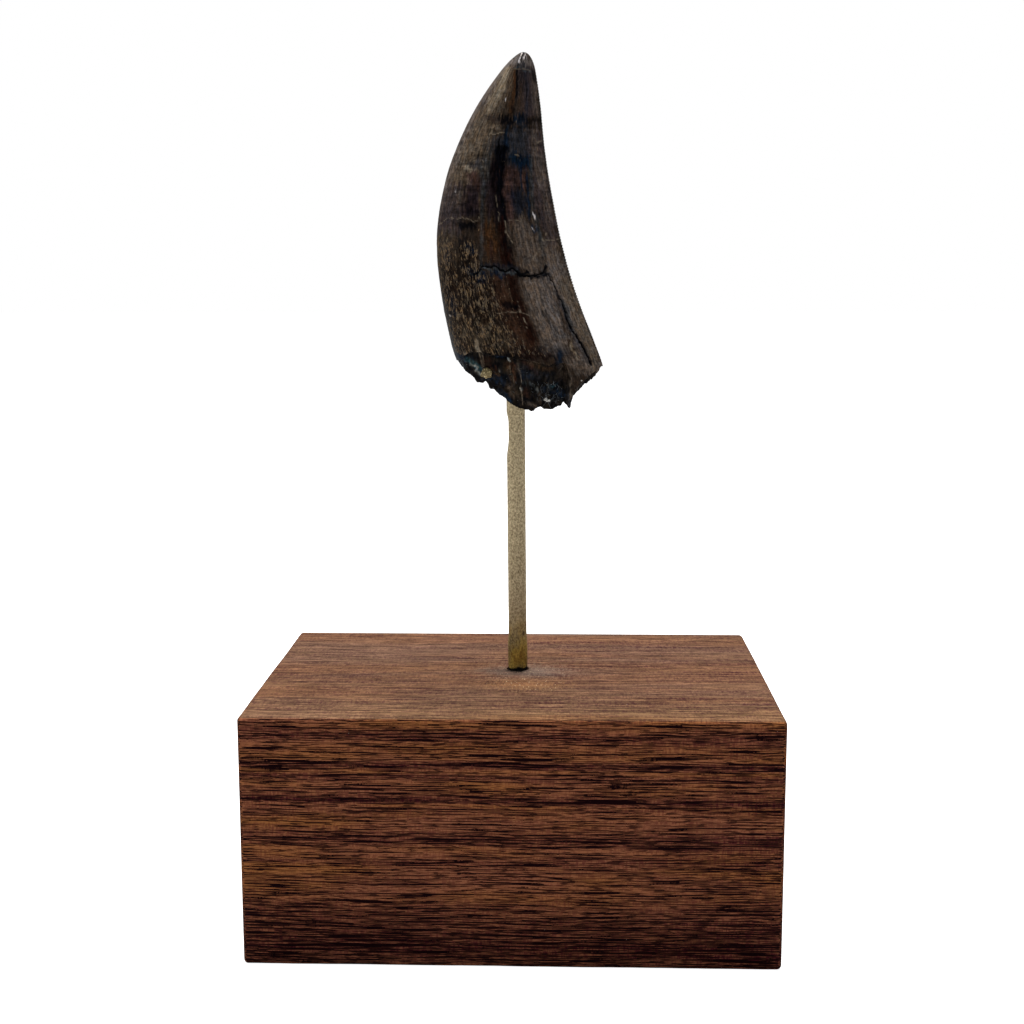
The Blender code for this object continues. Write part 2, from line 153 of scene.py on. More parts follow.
# Paint of the enamel, in the order it is laid on: tone, strength, half width and half height in mm of the
# brush, and the (x, height) corners of its stroke.
FRONT_PAINT = (
    # The taupe and cream strokes down the upper mesial face are partly the enamel's colour and partly painted
    # light: a lit band and highlights along its ridge.
    ("taupe", 1.00, 1.5, 1.0, ((-1.2, 52.4), (-2.6, 49.4), (-3.8, 46.6))),
    ("taupe", 1.00, 2.4, 1.5, ((-4.2, 45.6), (-5.4, 43.0), (-6.6, 40.4))),
    ("taupe", 0.85, 2.4, 1.5, ((-7.0, 39.6), (-8.2, 36.6), (-9.6, 33.4))),
    ("mauve", 0.80, 1.9, 1.5, ((-9.9, 34.0), (-10.6, 31.0), (-11.0, 28.4))),
    # The ash along the mesial edge is a painted rim highlight.
    ("ash", 0.45, 0.8, 1.0, ((-1.5, 53.6), (-3.8, 51.0), (-6.5, 47.0), (-9.2, 41.5), (-11.1, 36.0))),
    ("ash", 0.20, 0.4, 1.0, ((-11.1, 36.0), (-12.6, 28.0), (-12.3, 20.0), (-10.9, 12.0))),
    ("cream", 0.65, 0.5, 1.0, ((-1.4, 52.6), (-2.0, 51.0), (-2.6, 49.4))),
    ("cream", 0.40, 0.45, 1.2, ((-3.2, 48.4), (-4.4, 46.4))),
    ("umber", 0.12, 1.6, 1.4, ((-4.6, 44.0), (-5.8, 41.6))),
    ("cream", 0.60, 0.6, 0.5, ((-7.6, 37.6), (-6.9, 37.4))),
    # The ash on the tip is partly grey enamel and partly painted light on the upturned tip.
    ("ash", 0.85, 1.7, 0.9, ((-0.2, 54.0), (1.4, 53.9))),
    ("mauve", 1.00, 1.5, 1.2, ((1.4, 52.2), (1.8, 49.5), (2.0, 46.8))),
    ("slate", 0.55, 0.5, 1.5, ((2.6, 51.5), (2.9, 49.0), (3.1, 46.8))),
    ("bronze", 0.35, 0.30, 1.0, ((0.6, 49.6), (0.6, 47.0))),
    ("ink", 0.35, 0.5, 0.8, ((1.0, 52.2), (1.0, 50.2))),
    ("ink", 0.75, 0.25, 0.6, ((2.35, 52.4), (2.7, 51.4))),
    ("bronze", 0.35, 0.40, 1.5, ((-0.8, 52.2), (-0.9, 50.0), (-1.2, 47.4))),
    ("gold", 0.85, 0.22, 1.2, ((-0.3, 52.0), (-0.5, 49.8), (-1.0, 46.8))),
    ("rust", 0.35, 0.12, 0.9, ((-0.35, 51.4), (-0.5, 50.0))),
    ("ink", 0.95, 0.20, 0.6, ((0.15, 53.2), (0.05, 51.6), (-0.05, 50.0), (-0.15, 48.4))),
    ("ink", 0.70, 0.15, 0.6, ((-0.8, 48.2), (-0.9, 47.2), (-0.5, 46.4))),
    ("navy", 0.35, 0.30, 0.8, ((1.5, 52.4), (1.6, 50.0), (1.5, 47.2))),
    ("ink", 0.60, 0.14, 0.5, ((1.5, 50.4), (1.5, 48.8))),
    ("charcoal", 0.80, 0.5, 0.3, ((0.5, 53.6), (1.1, 53.5))),
    ("slate", 0.80, 1.6, 1.2, ((9.0, 8.0), (11.6, 7.0))),
    ("ink", 0.70, 0.2, 0.4, ((10.9, 9.4), (11.4, 8.4))),
    # The next three white strokes are painted glints on the tip's worn ridges.
    ("painted_glint", 0.65, 0.085, 0.22, ((0.60, 55.3), (0.5, 54.8), (0.34, 53.95))),
    ("painted_glint", 0.62, 0.08, 0.22, ((1.15, 55.35), (1.0, 54.4))),
    ("painted_glint", 0.20, 0.06, 0.25, ((1.45, 55.2), (1.4, 54.7))),
    ("ink", 0.80, 0.10, 0.4, ((0.87, 55.6), (0.75, 54.4))),
    ("ink", 0.60, 0.08, 0.3, ((1.3, 55.4), (1.2, 54.6))),
    ("bluegrey", 0.80, 0.12, 0.12, ((-0.3, 53.0), (0.4, 53.05), (1.1, 53.0), (2.0, 52.7))),
    ("wine", 0.60, 1.2, 0.6, ((-3.8, 45.2), (-2.6, 45.0))),
    ("ink", 0.95, 0.9, 0.8, ((-1.9, 45.2), (-0.9, 44.8))),
    ("navy", 0.85, 0.7, 0.9, ((0.2, 45.2), (1.0, 45.0))),
    ("ink", 0.65, 1.3, 0.7, ((1.8, 45.0), (3.4, 45.0))),
    ("ink", 0.70, 1.0, 0.5, ((-1.6, 44.1), (-0.8, 43.7))),
    ("charcoal", 0.95, 2.6, 1.4, ((0.3, 42.6), (0.5, 41.2))),
    ("charcoal", 0.75, 1.4, 1.0, ((-3.0, 41.6), (-2.8, 40.6))),
    ("charcoal", 0.70, 0.5, 1.5, ((-0.7, 41.0), (-0.9, 38.6))),
    ("navy", 0.85, 0.5, 0.9, ((-1.7, 42.9), (-1.7, 41.6))),
    ("ink", 1.00, 0.62, 1.0, ((-2.9, 40.2), (-2.8, 38.6))),
    ("ink", 1.00, 0.60, 0.9, ((-1.9, 40.4), (-1.9, 38.4))),
    ("mauve", 1.00, 1.4, 1.5, ((3.2, 42.4), (3.4, 38.0), (3.9, 34.0), (4.7, 30.0))),
    ("slate", 0.60, 0.5, 1.5, ((2.6, 42.2), (3.0, 39.6), (3.4, 36.0))),
    ("slate", 0.50, 0.5, 2.0, ((4.0, 38.0), (4.4, 34.0), (5.0, 30.0))),
    ("russet", 0.90, 0.9, 0.9, ((-6.7, 36.6), (-6.1, 35.2))),
    ("charcoal", 0.70, 1.0, 0.6, ((-6.4, 38.2), (-5.2, 38.6))),
    ("wine", 0.95, 1.3, 1.3, ((-6.9, 33.8), (-7.0, 31.6))),
    ("ink", 0.60, 0.9, 0.8, ((-7.0, 31.0), (-6.4, 30.8))),
    ("bluegrey", 0.35, 0.6, 2.0, ((-4.2, 38.4), (-4.4, 35.0))),
    ("wine", 0.90, 0.9, 1.5, ((-4.0, 34.5), (-3.8, 31.6))),
    ("wine", 0.60, 0.4, 1.5, ((-3.4, 37.5), (-3.5, 33.0))),
    ("oxblood", 0.90, 1.1, 1.2, ((-2.6, 37.6), (-2.5, 34.0), (-2.2, 30.6))),
    ("ink", 1.00, 1.0, 1.2, ((-2.4, 38.2), (-2.3, 35.0), (-2.2, 32.0), (-2.1, 30.0))),
    ("wine", 0.45, 0.7, 1.2, ((-3.4, 32.6), (-3.0, 30.6))),
    ("ink", 0.45, 0.6, 1.6, ((-3.6, 37.4), (-3.5, 33.0), (-3.3, 30.6))),
    ("russet", 0.90, 0.6, 1.2, ((-1.2, 36.8), (-1.2, 34.0), (-1.0, 31.8), (-0.8, 30.4))),
    ("russet", 0.70, 0.9, 0.8, ((-0.2, 36.8), (0.3, 35.8))),
    ("wine", 0.50, 0.6, 1.5, ((-0.4, 37.2), (-0.4, 34.4))),
    ("navy", 1.00, 0.9, 1.0, ((-0.1, 39.0), (0.6, 38.4))),
    ("ink", 0.30, 0.45, 0.7, ((0.3, 38.8), (0.7, 38.2))),
    ("navy", 1.00, 0.5, 0.8, ((1.3, 39.3), (1.5, 38.2))),
    ("russet", 0.80, 0.5, 0.9, ((1.1, 36.9), (1.0, 35.2))),
    ("navy", 0.90, 0.16, 1.0, ((0.7, 38.0), (0.7, 34.8))),
    ("navy", 0.65, 1.2, 1.3, ((0.0, 33.2), (0.6, 31.6))),
    ("navy", 0.90, 0.25, 1.0, ((1.6, 36.0), (1.75, 33.0), (1.9, 30.4))),
    ("bluegrey", 0.50, 0.25, 1.5, ((2.1, 38.0), (2.2, 35.0), (2.5, 32.5))),
    ("bluegrey", 0.50, 0.3, 1.2, ((3.2, 29.6), (3.5, 27.4), (4.2, 25.0), (4.6, 23.0))),
    ("slate", 0.72, 1.7, 1.6, ((0.9, 28.4), (1.8, 25.4), (2.4, 23.4))),
    ("slate", 0.80, 1.2, 1.5, ((5.0, 25.6), (5.8, 23.4), (6.6, 20.8), (8.0, 17.4), (9.6, 13.4), (11.2, 9.6))),
    ("mauve", 0.60, 0.7, 1.5, ((4.8, 29.0), (5.6, 27.0))),
    ("ash", 0.55, 1.4, 1.5, ((6.0, 22.0), (8.2, 17.0), (10.2, 12.4), (11.4, 9.8), (12.2, 7.0))),
    ("taupe", 0.80, 0.9, 1.5, ((7.6, 20.0), (9.2, 15.4), (10.6, 12.2), (11.6, 9.6), (12.2, 7.0))),
    ("navy", 0.80, 0.4, 0.4, ((2.5, 28.7), (2.9, 28.1))),
    ("slate", 1.00, 1.9, 1.5, ((2.6, 20.0), (3.8, 16.6), (4.9, 13.6), (5.9, 10.8))),
    ("ash", 0.60, 1.1, 1.5, ((4.3, 20.4), (5.1, 17.0), (6.1, 13.4), (6.8, 11.2))),
    ("charcoal", 0.50, 1.5, 0.8, ((4.6, 10.0), (7.0, 9.2))),
    ("ink", 0.55, 0.11, 0.4, ((3.9, 15.5), (4.6, 14.6), (5.4, 13.2), (6.3, 11.4))),
    ("cream", 0.55, 0.13, 0.3, ((8.4, 10.5), (8.8, 9.6), (9.3, 8.6))),
    ("ink", 0.80, 0.45, 0.16, ((0.7, 9.1), (1.5, 8.75), (2.4, 8.5))),
    ("ink", 0.70, 0.5, 0.14, ((3.6, 8.9), (4.8, 8.7), (5.8, 8.4))),
    ("mauve", 0.90, 1.6, 1.0, ((-11.0, 28.8), (-10.0, 28.2))),
    ("gold", 1.00, 1.2, 1.6, ((-4.4, 28.0), (-3.6, 25.6))),
    ("ink", 0.40, 0.16, 1.0, ((-4.9, 28.6), (-4.7, 25.2))),
    ("ink", 0.45, 0.18, 1.0, ((-3.0, 28.4), (-2.8, 24.6))),
    ("navy", 0.35, 0.22, 0.8, ((-3.9, 26.2), (-3.8, 24.4))),
    ("rust", 0.25, 0.9, 0.8, ((-3.6, 25.0), (-3.0, 23.8))),
    ("oxblood", 0.90, 0.6, 1.0, ((-2.3, 28.8), (-2.0, 26.4))),
    ("ink", 0.80, 0.6, 0.8, ((-1.6, 26.2), (-1.3, 25.2))),
    ("oxblood", 0.90, 0.8, 1.0, ((-1.6, 24.4), (-1.2, 23.4))),
    ("bluegrey", 0.40, 0.30, 1.0, ((-5.3, 37.0), (-5.2, 33.0), (-5.2, 30.0), (-5.4, 26.0), (-5.4, 23.4))),
    ("loam", 1.00, 3.6, 3.0, ((-10.4, 24.0), (-9.4, 20.0), (-7.6, 15.0), (-6.4, 11.0))),
    ("loam", 0.90, 2.4, 2.4, ((-5.6, 18.0), (-4.4, 13.0), (-3.6, 10.6))),
    ("taupe", 0.40, 1.8, 1.4, ((-11.0, 27.0), (-10.6, 24.4))),
    ("tan", 0.14, 2.6, 1.8, ((-6.0, 12.6), (-3.4, 11.2))),
    ("ink", 0.90, 0.9, 0.6, ((-8.4, 29.0), (-7.2, 28.8))),
    ("ink", 0.80, 0.6, 0.8, ((-8.4, 26.6), (-8.3, 25.4))),
    ("navy", 0.70, 0.5, 0.6, ((-7.2, 25.6), (-6.6, 25.0))),
    ("navy", 0.50, 0.5, 1.0, ((-10.8, 25.0), (-10.6, 24.2))),
    # This blue-grey along the lower mesial edge is a painted rim highlight.
    ("bluegrey", 0.45, 0.5, 1.2, ((-11.9, 18.0), (-11.0, 14.0), (-10.0, 10.6), (-9.4, 8.8))),
    ("navy", 0.60, 0.5, 0.8, ((-10.0, 17.4), (-9.6, 15.6))),
    ("rust", 0.50, 1.2, 1.2, ((-2.8, 20.4), (-1.8, 17.0), (-0.6, 14.0), (0.6, 12.0), (2.0, 10.6))),
    ("oxblood", 0.85, 0.8, 1.2, ((-0.9, 20.8), (-0.2, 18.6), (0.6, 16.4), (1.4, 14.2), (2.3, 11.8))),
    ("ink", 0.85, 0.8, 0.4, ((-1.6, 16.8), (-0.3, 16.5))),
    ("navy", 0.85, 0.80, 0.7, ((-7.0, 21.8), (-6.2, 20.9), (-5.2, 20.8))),
    ("ink", 0.90, 0.60, 0.4, ((-6.9, 21.2), (-6.0, 20.4))),
    ("navy", 0.85, 0.60, 0.4, ((-3.6, 21.7), (-2.4, 21.3))),
    (
        "navy", 0.50, 0.40, 0.34,
        ((-5.6, 22.6), (-4.4, 22.9), (-3.2, 22.9), (-2.2, 22.4), (-0.4, 22.6), (0.3, 21.8)),
    ),
    ("ink", 0.70, 0.30, 0.30, ((-1.0, 22.9), (-0.3, 22.9))),
    ("bluegrey", 0.65, 0.30, 0.22, ((-7.2, 21.6), (-6.2, 21.7), (-5.4, 22.4), (-4.3, 22.4), (-3.3, 22.3),
                                    (-2.3, 21.9), (-1.3, 21.7), (-0.7, 22.0), (0.0, 21.6))),
    ("ink", 0.95, 0.7, 0.3, ((0.5, 21.3), (2.1, 21.3))),
    ("ink", 0.95, 0.7, 0.3, ((3.4, 21.5), (4.3, 21.6))),
    ("ink", 0.80, 0.3, 0.2, ((0.3, 21.5), (4.4, 21.4), (4.6, 22.8))),
    ("navy", 0.50, 0.32, 0.5, ((6.3, 18.4), (7.5, 15.6), (8.5, 12.9), (10.0, 10.3), (11.3, 8.0))),
    ("bluegrey", 0.40, 0.2, 0.8, ((7.2, 17.0), (7.9, 15.4), (8.3, 13.8), (8.9, 12.2))),
    ("oxblood", 0.60, 1.4, 0.6, ((1.0, 9.6), (3.6, 9.0))),
    ("ink", 0.85, 1.6, 0.5, ((-4.4, 9.2), (-2.6, 9.0), (-1.0, 8.8))),
    ("navy", 0.85, 0.5, 0.8, ((6.8, 8.8), (6.7, 7.9))),
    ("navy", 0.95, 1.2, 0.8, ((-9.0, 8.6), (-7.8, 7.8), (-6.6, 6.6))),
    ("cream", 0.80, 0.22, 0.6, ((-6.3, 11.0), (-5.9, 9.6), (-5.5, 8.2))),
    ("cream", 0.50, 0.3, 0.25, ((-8.1, 9.2), (-7.6, 9.0))),
    # These small white strokes are painted glints.
    ("painted_glint", 0.50, 0.08, 0.16, ((-1.65, 48.35), (-1.65, 48.2))),
    ("painted_glint", 0.55, 0.09, 0.16, ((2.45, 31.2), (2.7, 30.7), (2.95, 30.1))),
    ("painted_glint", 0.30, 0.16, 0.07, ((2.3, 28.4), (2.8, 28.5))),
    ("painted_glint", 0.30, 0.09, 0.10, ((-9.4, 34.35), (-9.3, 34.15))),
    ("painted_glint", 0.50, 0.12, 0.10, ((-10.5, 15.2), (-10.3, 14.9))),
)
BACK_PAINT = (
    # Here too the taupe and cream down the upper face and the ash on the tip are partly painted light, as in
    # front.
    ("taupe", 0.95, 2.2, 1.6, ((0.2, 52.5), (-2.0, 49.0), (-4.2, 45.0), (-6.0, 41.0))),
    ("cream", 0.60, 0.5, 1.2, ((-1.0, 51.5), (-2.8, 47.5), (-4.6, 43.5))),
    ("ash", 0.85, 1.7, 0.9, ((-0.2, 54.0), (1.4, 53.9))),
    ("mauve", 0.80, 1.9, 2.0, ((-9.6, 35.0), (-10.6, 28.0), (-10.4, 21.0))),
    ("mauve", 0.90, 1.4, 1.5, ((2.6, 50.0), (3.2, 43.0), (4.2, 35.0), (5.4, 29.0))),
    ("gold", 0.80, 0.6, 1.5, ((-0.6, 49.0), (-1.4, 44.0))),
    ("ink", 0.80, 1.1, 0.8, ((-1.2, 42.6), (1.4, 42.2))),
    ("rust", 0.42, 0.8, 2.0, ((-2.6, 41.0), (-3.2, 36.0), (-3.6, 31.0))),
    ("wine", 0.90, 1.1, 2.0, ((-5.8, 39.0), (-6.6, 33.0))),
    ("ink", 0.90, 0.7, 2.0, ((-0.8, 38.0), (-0.6, 33.0), (-0.2, 29.0))),
    ("navy", 0.60, 0.6, 1.4, ((1.4, 37.5), (2.0, 33.0))),
    ("slate", 0.90, 2.0, 2.4, ((3.2, 25.0), (5.0, 20.0), (7.0, 15.0))),
    ("slate", 0.60, 1.6, 2.0, ((0.6, 28.0), (1.4, 24.0))),
    ("gold", 0.55, 1.2, 1.6, ((-5.0, 27.0), (-4.4, 24.0))),
    ("loam", 0.90, 3.0, 3.0, ((-8.6, 22.0), (-7.0, 15.0), (-4.4, 12.5))),
    ("oxblood", 0.85, 0.9, 1.8, ((-1.2, 22.0), (0.4, 17.0), (2.0, 13.0))),
    ("ink", 0.85, 1.6, 0.6, ((-6.6, 11.4), (-2.0, 10.8), (3.0, 10.8))),
    ("navy", 0.55, 0.9, 0.7, ((-8.2, 10.4), (-7.0, 10.8))),
    ("bluegrey", 0.60, 0.22, 1.2, ((-4.6, 37.0), (-5.0, 30.0), (-4.6, 24.0))),
    ("bluegrey", 0.60, 0.3, 0.3, ((-7.0, 20.5), (-4.6, 21.2), (-2.0, 20.4))),
    ("taupe", 0.60, 1.0, 1.4, ((9.0, 15.0), (10.4, 11.5))),
)
# The same on the broken dentine
FRONT_BREAK_PAINT = (
    ("ink", 0.95, 1.2, 0.6, ((-5.0, 9.2), (-3.4, 8.9), (-1.8, 8.7))),
    ("navy", 0.80, 0.6, 0.3, ((-3.0, 9.0), (-1.8, 8.8))),
    ("oxblood", 0.85, 1.0, 0.7, ((-4.8, 8.2), (-3.8, 7.4))),
    ("ink", 0.95, 0.8, 0.8, ((-3.3, 7.5), (-2.4, 6.4))),
    ("rust", 0.70, 0.16, 0.2, ((-3.3, 7.2), (-3.1, 6.9))),
    ("ink", 0.95, 0.4, 0.7, ((-1.8, 8.4), (-1.7, 7.4), (-2.0, 6.2))),
    ("chalk", 0.60, 0.12, 0.12, ((-2.7, 6.7), (-2.6, 6.5))),
    ("bronze", 0.70, 0.24, 0.14, ((-3.9, 6.75), (-3.4, 6.3), (-2.9, 6.0))),
    ("navy", 1.00, 1.6, 1.2, ((-9.6, 8.4), (-8.2, 7.4), (-6.8, 5.8), (-5.6, 4.8))),
    ("ink", 0.95, 0.8, 0.6, ((-8.0, 7.4), (-7.0, 6.4), (-6.2, 5.4))),
    # This blue-grey along the break's left edge is a painted edge highlight.
    ("bluegrey", 0.60, 0.25, 0.4, ((-9.4, 8.6), (-8.9, 7.8), (-8.3, 7.2))),
    ("teal", 1.00, 0.50, 0.36, ((-7.8, 8.3), (-7.0, 7.9), (-6.2, 7.2), (-5.7, 6.7))),
    ("chalk", 0.70, 0.14, 0.12, ((-7.3, 7.6), (-6.8, 7.35), (-6.35, 7.3), (-6.15, 7.0), (-6.45, 6.7))),
    ("chalk", 0.65, 0.24, 0.20, ((-6.5, 6.65), (-6.2, 6.3), (-5.7, 5.9))),
    ("ink", 1.00, 0.22, 0.18, ((-6.85, 7.0), (-6.7, 6.85))),
    ("pale", 0.45, 0.09, 0.5, ((-5.85, 9.6), (-5.6, 8.4), (-5.35, 7.2))),
    ("pale", 0.30, 0.08, 0.5, ((-5.4, 9.4), (-5.25, 8.4), (-5.15, 7.4))),
    ("ink", 0.90, 0.10, 0.5, ((-5.62, 9.4), (-5.42, 8.4))),
    ("navy", 0.60, 1.2, 0.7, ((-4.2, 5.2), (-3.0, 5.0), (-1.8, 5.0))),
    ("bronze", 0.75, 0.7, 0.8, ((-1.3, 7.3), (-0.6, 6.8))),
    ("umber", 0.90, 0.50, 0.8, ((-0.9, 6.4), (-0.5, 5.2))),
    ("pale", 0.30, 0.06, 0.5, ((-1.1, 7.2), (-0.9, 6.4), (-0.4, 5.1))),
    ("rust", 0.80, 0.16, 0.5, ((-0.65, 7.7), (-0.5, 6.4), (-0.2, 5.2))),
    ("ink", 0.85, 0.10, 0.5, ((-0.85, 6.9), (-0.65, 5.6))),
    ("ink", 0.95, 0.24, 0.5, ((-0.2, 8.7), (0.1, 8.3))),
    ("ink", 0.90, 0.22, 0.6, ((0.35, 8.2), (0.85, 6.8))),
    ("rust", 0.70, 0.3, 0.2, ((-1.4, 7.7), (-0.2, 7.5))),
    ("pale", 0.60, 0.07, 0.4, ((0.1, 7.9), (0.4, 6.9), (0.65, 5.6), (0.75, 4.9))),
    # This white spot is a painted glint.
    ("chalk", 0.70, 0.10, 0.16, ((-1.25, 8.5), (-1.1, 8.2))),
    ("charcoal", 0.45, 1.3, 0.9, ((1.3, 7.2), (2.0, 6.0), (3.4, 5.6), (4.6, 5.6))),
    ("navy", 0.50, 0.9, 0.6, ((1.2, 6.2), (2.0, 5.4))),
    ("wine", 0.90, 0.30, 0.2, ((1.8, 7.3), (2.6, 6.7), (3.3, 6.1))),
    ("rust", 0.45, 0.40, 0.2, ((0.8, 8.1), (1.9, 7.6), (2.6, 7.1))),
    ("bronze", 0.50, 0.9, 0.30, ((2.4, 7.9), (3.2, 7.4), (4.2, 6.9), (5.6, 6.8))),
    ("pale", 0.35, 0.3, 0.12, ((2.7, 8.1), (3.3, 7.9))),
    ("ink", 1.00, 0.45, 0.14, ((4.2, 7.45), (4.9, 7.8), (5.6, 7.45))),
    ("rust", 0.35, 0.8, 0.2, ((3.0, 8.3), (4.8, 8.0), (5.6, 7.9))),
    ("ink", 0.95, 0.4, 0.13, ((0.7, 8.8), (1.4, 8.45), (2.2, 8.25))),
    ("ink", 0.85, 0.5, 0.13, ((3.6, 8.6), (4.8, 8.4), (5.8, 8.0))),
    ("navy", 0.90, 0.40, 0.8, ((6.2, 8.8), (6.5, 8.0), (6.7, 7.2))),
    ("ink", 0.80, 1.2, 0.5, ((5.4, 6.2), (7.2, 5.6))),
    ("umber", 1.00, 0.9, 1.2, ((7.4, 7.0), (8.0, 6.0))),
    ("taupe", 0.60, 0.5, 0.4, ((7.3, 8.0), (7.9, 7.6))),
    ("umber", 1.00, 0.9, 1.0, ((9.2, 6.6), (9.6, 5.4), (9.2, 4.2))),
    ("taupe", 0.45, 0.6, 0.5, ((9.0, 6.4), (9.8, 6.0))),
    ("pale", 0.60, 0.13, 0.4, ((8.0, 7.2), (8.4, 6.5), (8.75, 5.6))),
    ("ink", 0.90, 0.16, 0.5, ((8.05, 6.4), (8.4, 5.4), (8.2, 3.6))),
    ("ink", 0.90, 0.16, 0.4, ((8.9, 4.8), (8.7, 3.4))),
    ("slate", 0.90, 1.5, 1.2, ((9.2, 7.8), (10.6, 6.8), (12.0, 6.6))),
    ("bluegrey", 0.50, 0.5, 0.5, ((9.6, 5.8), (10.6, 5.9))),
    ("umber", 0.50, 0.5, 0.5, ((10.6, 6.2), (11.0, 5.8))),
    ("ink", 0.85, 0.20, 0.3, ((11.3, 8.3), (11.7, 7.5), (12.05, 6.8))),
    ("ink", 0.90, 0.16, 0.16, ((11.6, 6.35), (12.0, 6.2))),
    ("ink", 0.80, 0.9, 0.22, ((10.2, 4.4), (11.4, 5.2), (12.4, 5.9))),
    ("chalk", 0.60, 0.16, 0.16, ((10.1, 5.0), (10.25, 4.8))),
    ("taupe", 0.60, 0.40, 0.5, ((8.5, 4.6), (8.5, 3.4), (8.6, 2.2))),
    ("pale", 0.25, 0.08, 0.4, ((8.4, 4.6), (8.5, 3.4), (8.6, 2.4))),
    ("charcoal", 1.00, 0.35, 0.7, ((7.8, 3.6), (8.0, 2.4), (8.2, 1.4))),
    ("ink", 1.00, 1.3, 0.4, ((-4.6, 4.6), (-3.0, 4.4), (-1.6, 4.3), (-0.4, 4.3), (0.6, 4.3))),
    ("navy", 0.90, 0.6, 0.3, ((-2.8, 4.7), (-2.0, 4.5))),
    ("ink", 0.90, 0.7, 0.5, ((-5.2, 4.6), (-3.6, 3.8), (-2.6, 3.0), (-1.6, 2.2), (-0.6, 1.4))),
    ("navy", 0.90, 0.5, 0.5, ((-2.6, 3.3), (-1.8, 2.6), (-1.0, 1.8))),
    ("umber", 0.95, 0.7, 0.9, ((-1.1, 3.9), (-0.5, 3.0), (0.2, 2.4))),
    ("taupe", 0.35, 0.35, 0.5, ((-1.0, 3.8), (-0.6, 3.1))),
    ("rust", 0.35, 0.50, 0.5, ((1.2, 3.3), (1.8, 2.7))),
    ("ink", 0.90, 0.5, 0.5, ((0.1, 2.2), (0.4, 1.4))),
    ("pale", 0.50, 0.07, 0.4, ((0.65, 3.6), (0.8, 2.6), (0.9, 1.4))),
    ("chalk", 1.00, 0.16, 0.14, ((0.6, 3.75), (0.7, 3.7))),
    ("ink", 0.90, 0.25, 0.4, ((1.3, 2.2), (1.8, 1.4))),
    ("slate", 0.60, 0.5, 0.16, ((1.5, 1.6), (2.2, 1.1))),
    ("taupe", 0.50, 0.3, 0.16, ((2.4, 1.4), (2.9, 0.9))),
    ("ink", 0.90, 0.5, 0.3, ((2.2, 2.9), (2.7, 2.5))),
    ("ink", 1.00, 2.0, 1.3, ((4.1, 4.4), (5.4, 3.8), (6.6, 3.2))),
    ("navy", 1.00, 0.9, 0.5, ((4.6, 3.6), (6.0, 3.4), (7.0, 2.6))),
    ("teal", 0.50, 0.5, 0.25, ((5.4, 3.9), (6.2, 3.6))),
    ("bluegrey", 0.90, 0.16, 0.11, ((0.9, 4.65), (1.8, 4.6), (2.7, 4.3), (3.2, 3.8), (3.35, 3.2))),
    ("chalk", 0.50, 0.16, 0.22, ((3.25, 3.7), (3.35, 3.3))),
    ("slate", 0.50, 0.2, 0.4, ((3.5, 2.8), (3.6, 1.6))),
    ("ink", 1.00, 1.0, 0.22, ((4.4, 0.7), (5.4, 0.6), (6.6, 0.9))),
)
BACK_BREAK_PAINT = (
    ("ink", 0.90, 2.0, 0.8, ((-6.0, 9.0), (-2.0, 8.6))),
    ("gold", 0.70, 1.6, 0.5, ((1.0, 8.6), (4.6, 8.0))),
    ("charcoal", 0.90, 1.8, 0.9, ((4.0, 6.4), (8.0, 6.0))),
    ("teal", 0.70, 0.6, 0.3, ((5.0, 8.6), (6.4, 8.2))),
)

# Where the enamel is worn into flecks: line, half width and half height of the brush, strength
FRONT_FLECKS = (
    (((-11.6, 26.0), (-11.2, 22.0), (-10.2, 18.0), (-9.2, 14.0), (-8.2, 10.6)), 2.2, 2.4, 0.85),
    (((-7.4, 25.0), (-7.0, 21.0), (-6.0, 17.0), (-4.6, 13.0), (-3.6, 10.5)), 2.0, 2.0, 0.85),
    (((-8.4, 20.0), (-7.8, 17.0), (-4.0, 17.4)), 1.0, 1.0, 1.0),
    (((-7.4, 13.4), (-3.4, 12.4)), 1.6, 1.2, 1.0),
    (((-4.8, 20.0), (-3.6, 16.5), (-2.0, 12.5), (-0.5, 10.4)), 1.8, 1.8, 0.75),
    (((-2.0, 20.6), (-1.4, 18.0), (0.2, 14.0), (1.6, 11.0)), 0.9, 1.2, 0.45),
    (((-1.0, 10.0), (3.4, 9.6)), 1.8, 0.9, 0.7),
    (((-4.4, 27.5), (-3.6, 24.6)), 1.2, 1.4, 0.30),
    (((3.0, 20.0), (5.4, 13.0), (8.4, 8.0)), 1.6, 1.6, 0.18),
)
BACK_FLECKS = (
    (((-10.6, 25.0), (-9.4, 18.0), (-7.4, 12.6)), 2.2, 2.4, 0.72),
    (((-7.4, 24.0), (-6.0, 19.0), (-4.0, 13.0)), 2.6, 2.6, 0.66),
    (((-3.4, 17.0), (-1.6, 12.0)), 1.6, 2.2, 0.36),
    (((7.0, 30.0), (8.0, 24.0)), 0.8, 3.0, 0.4),
)

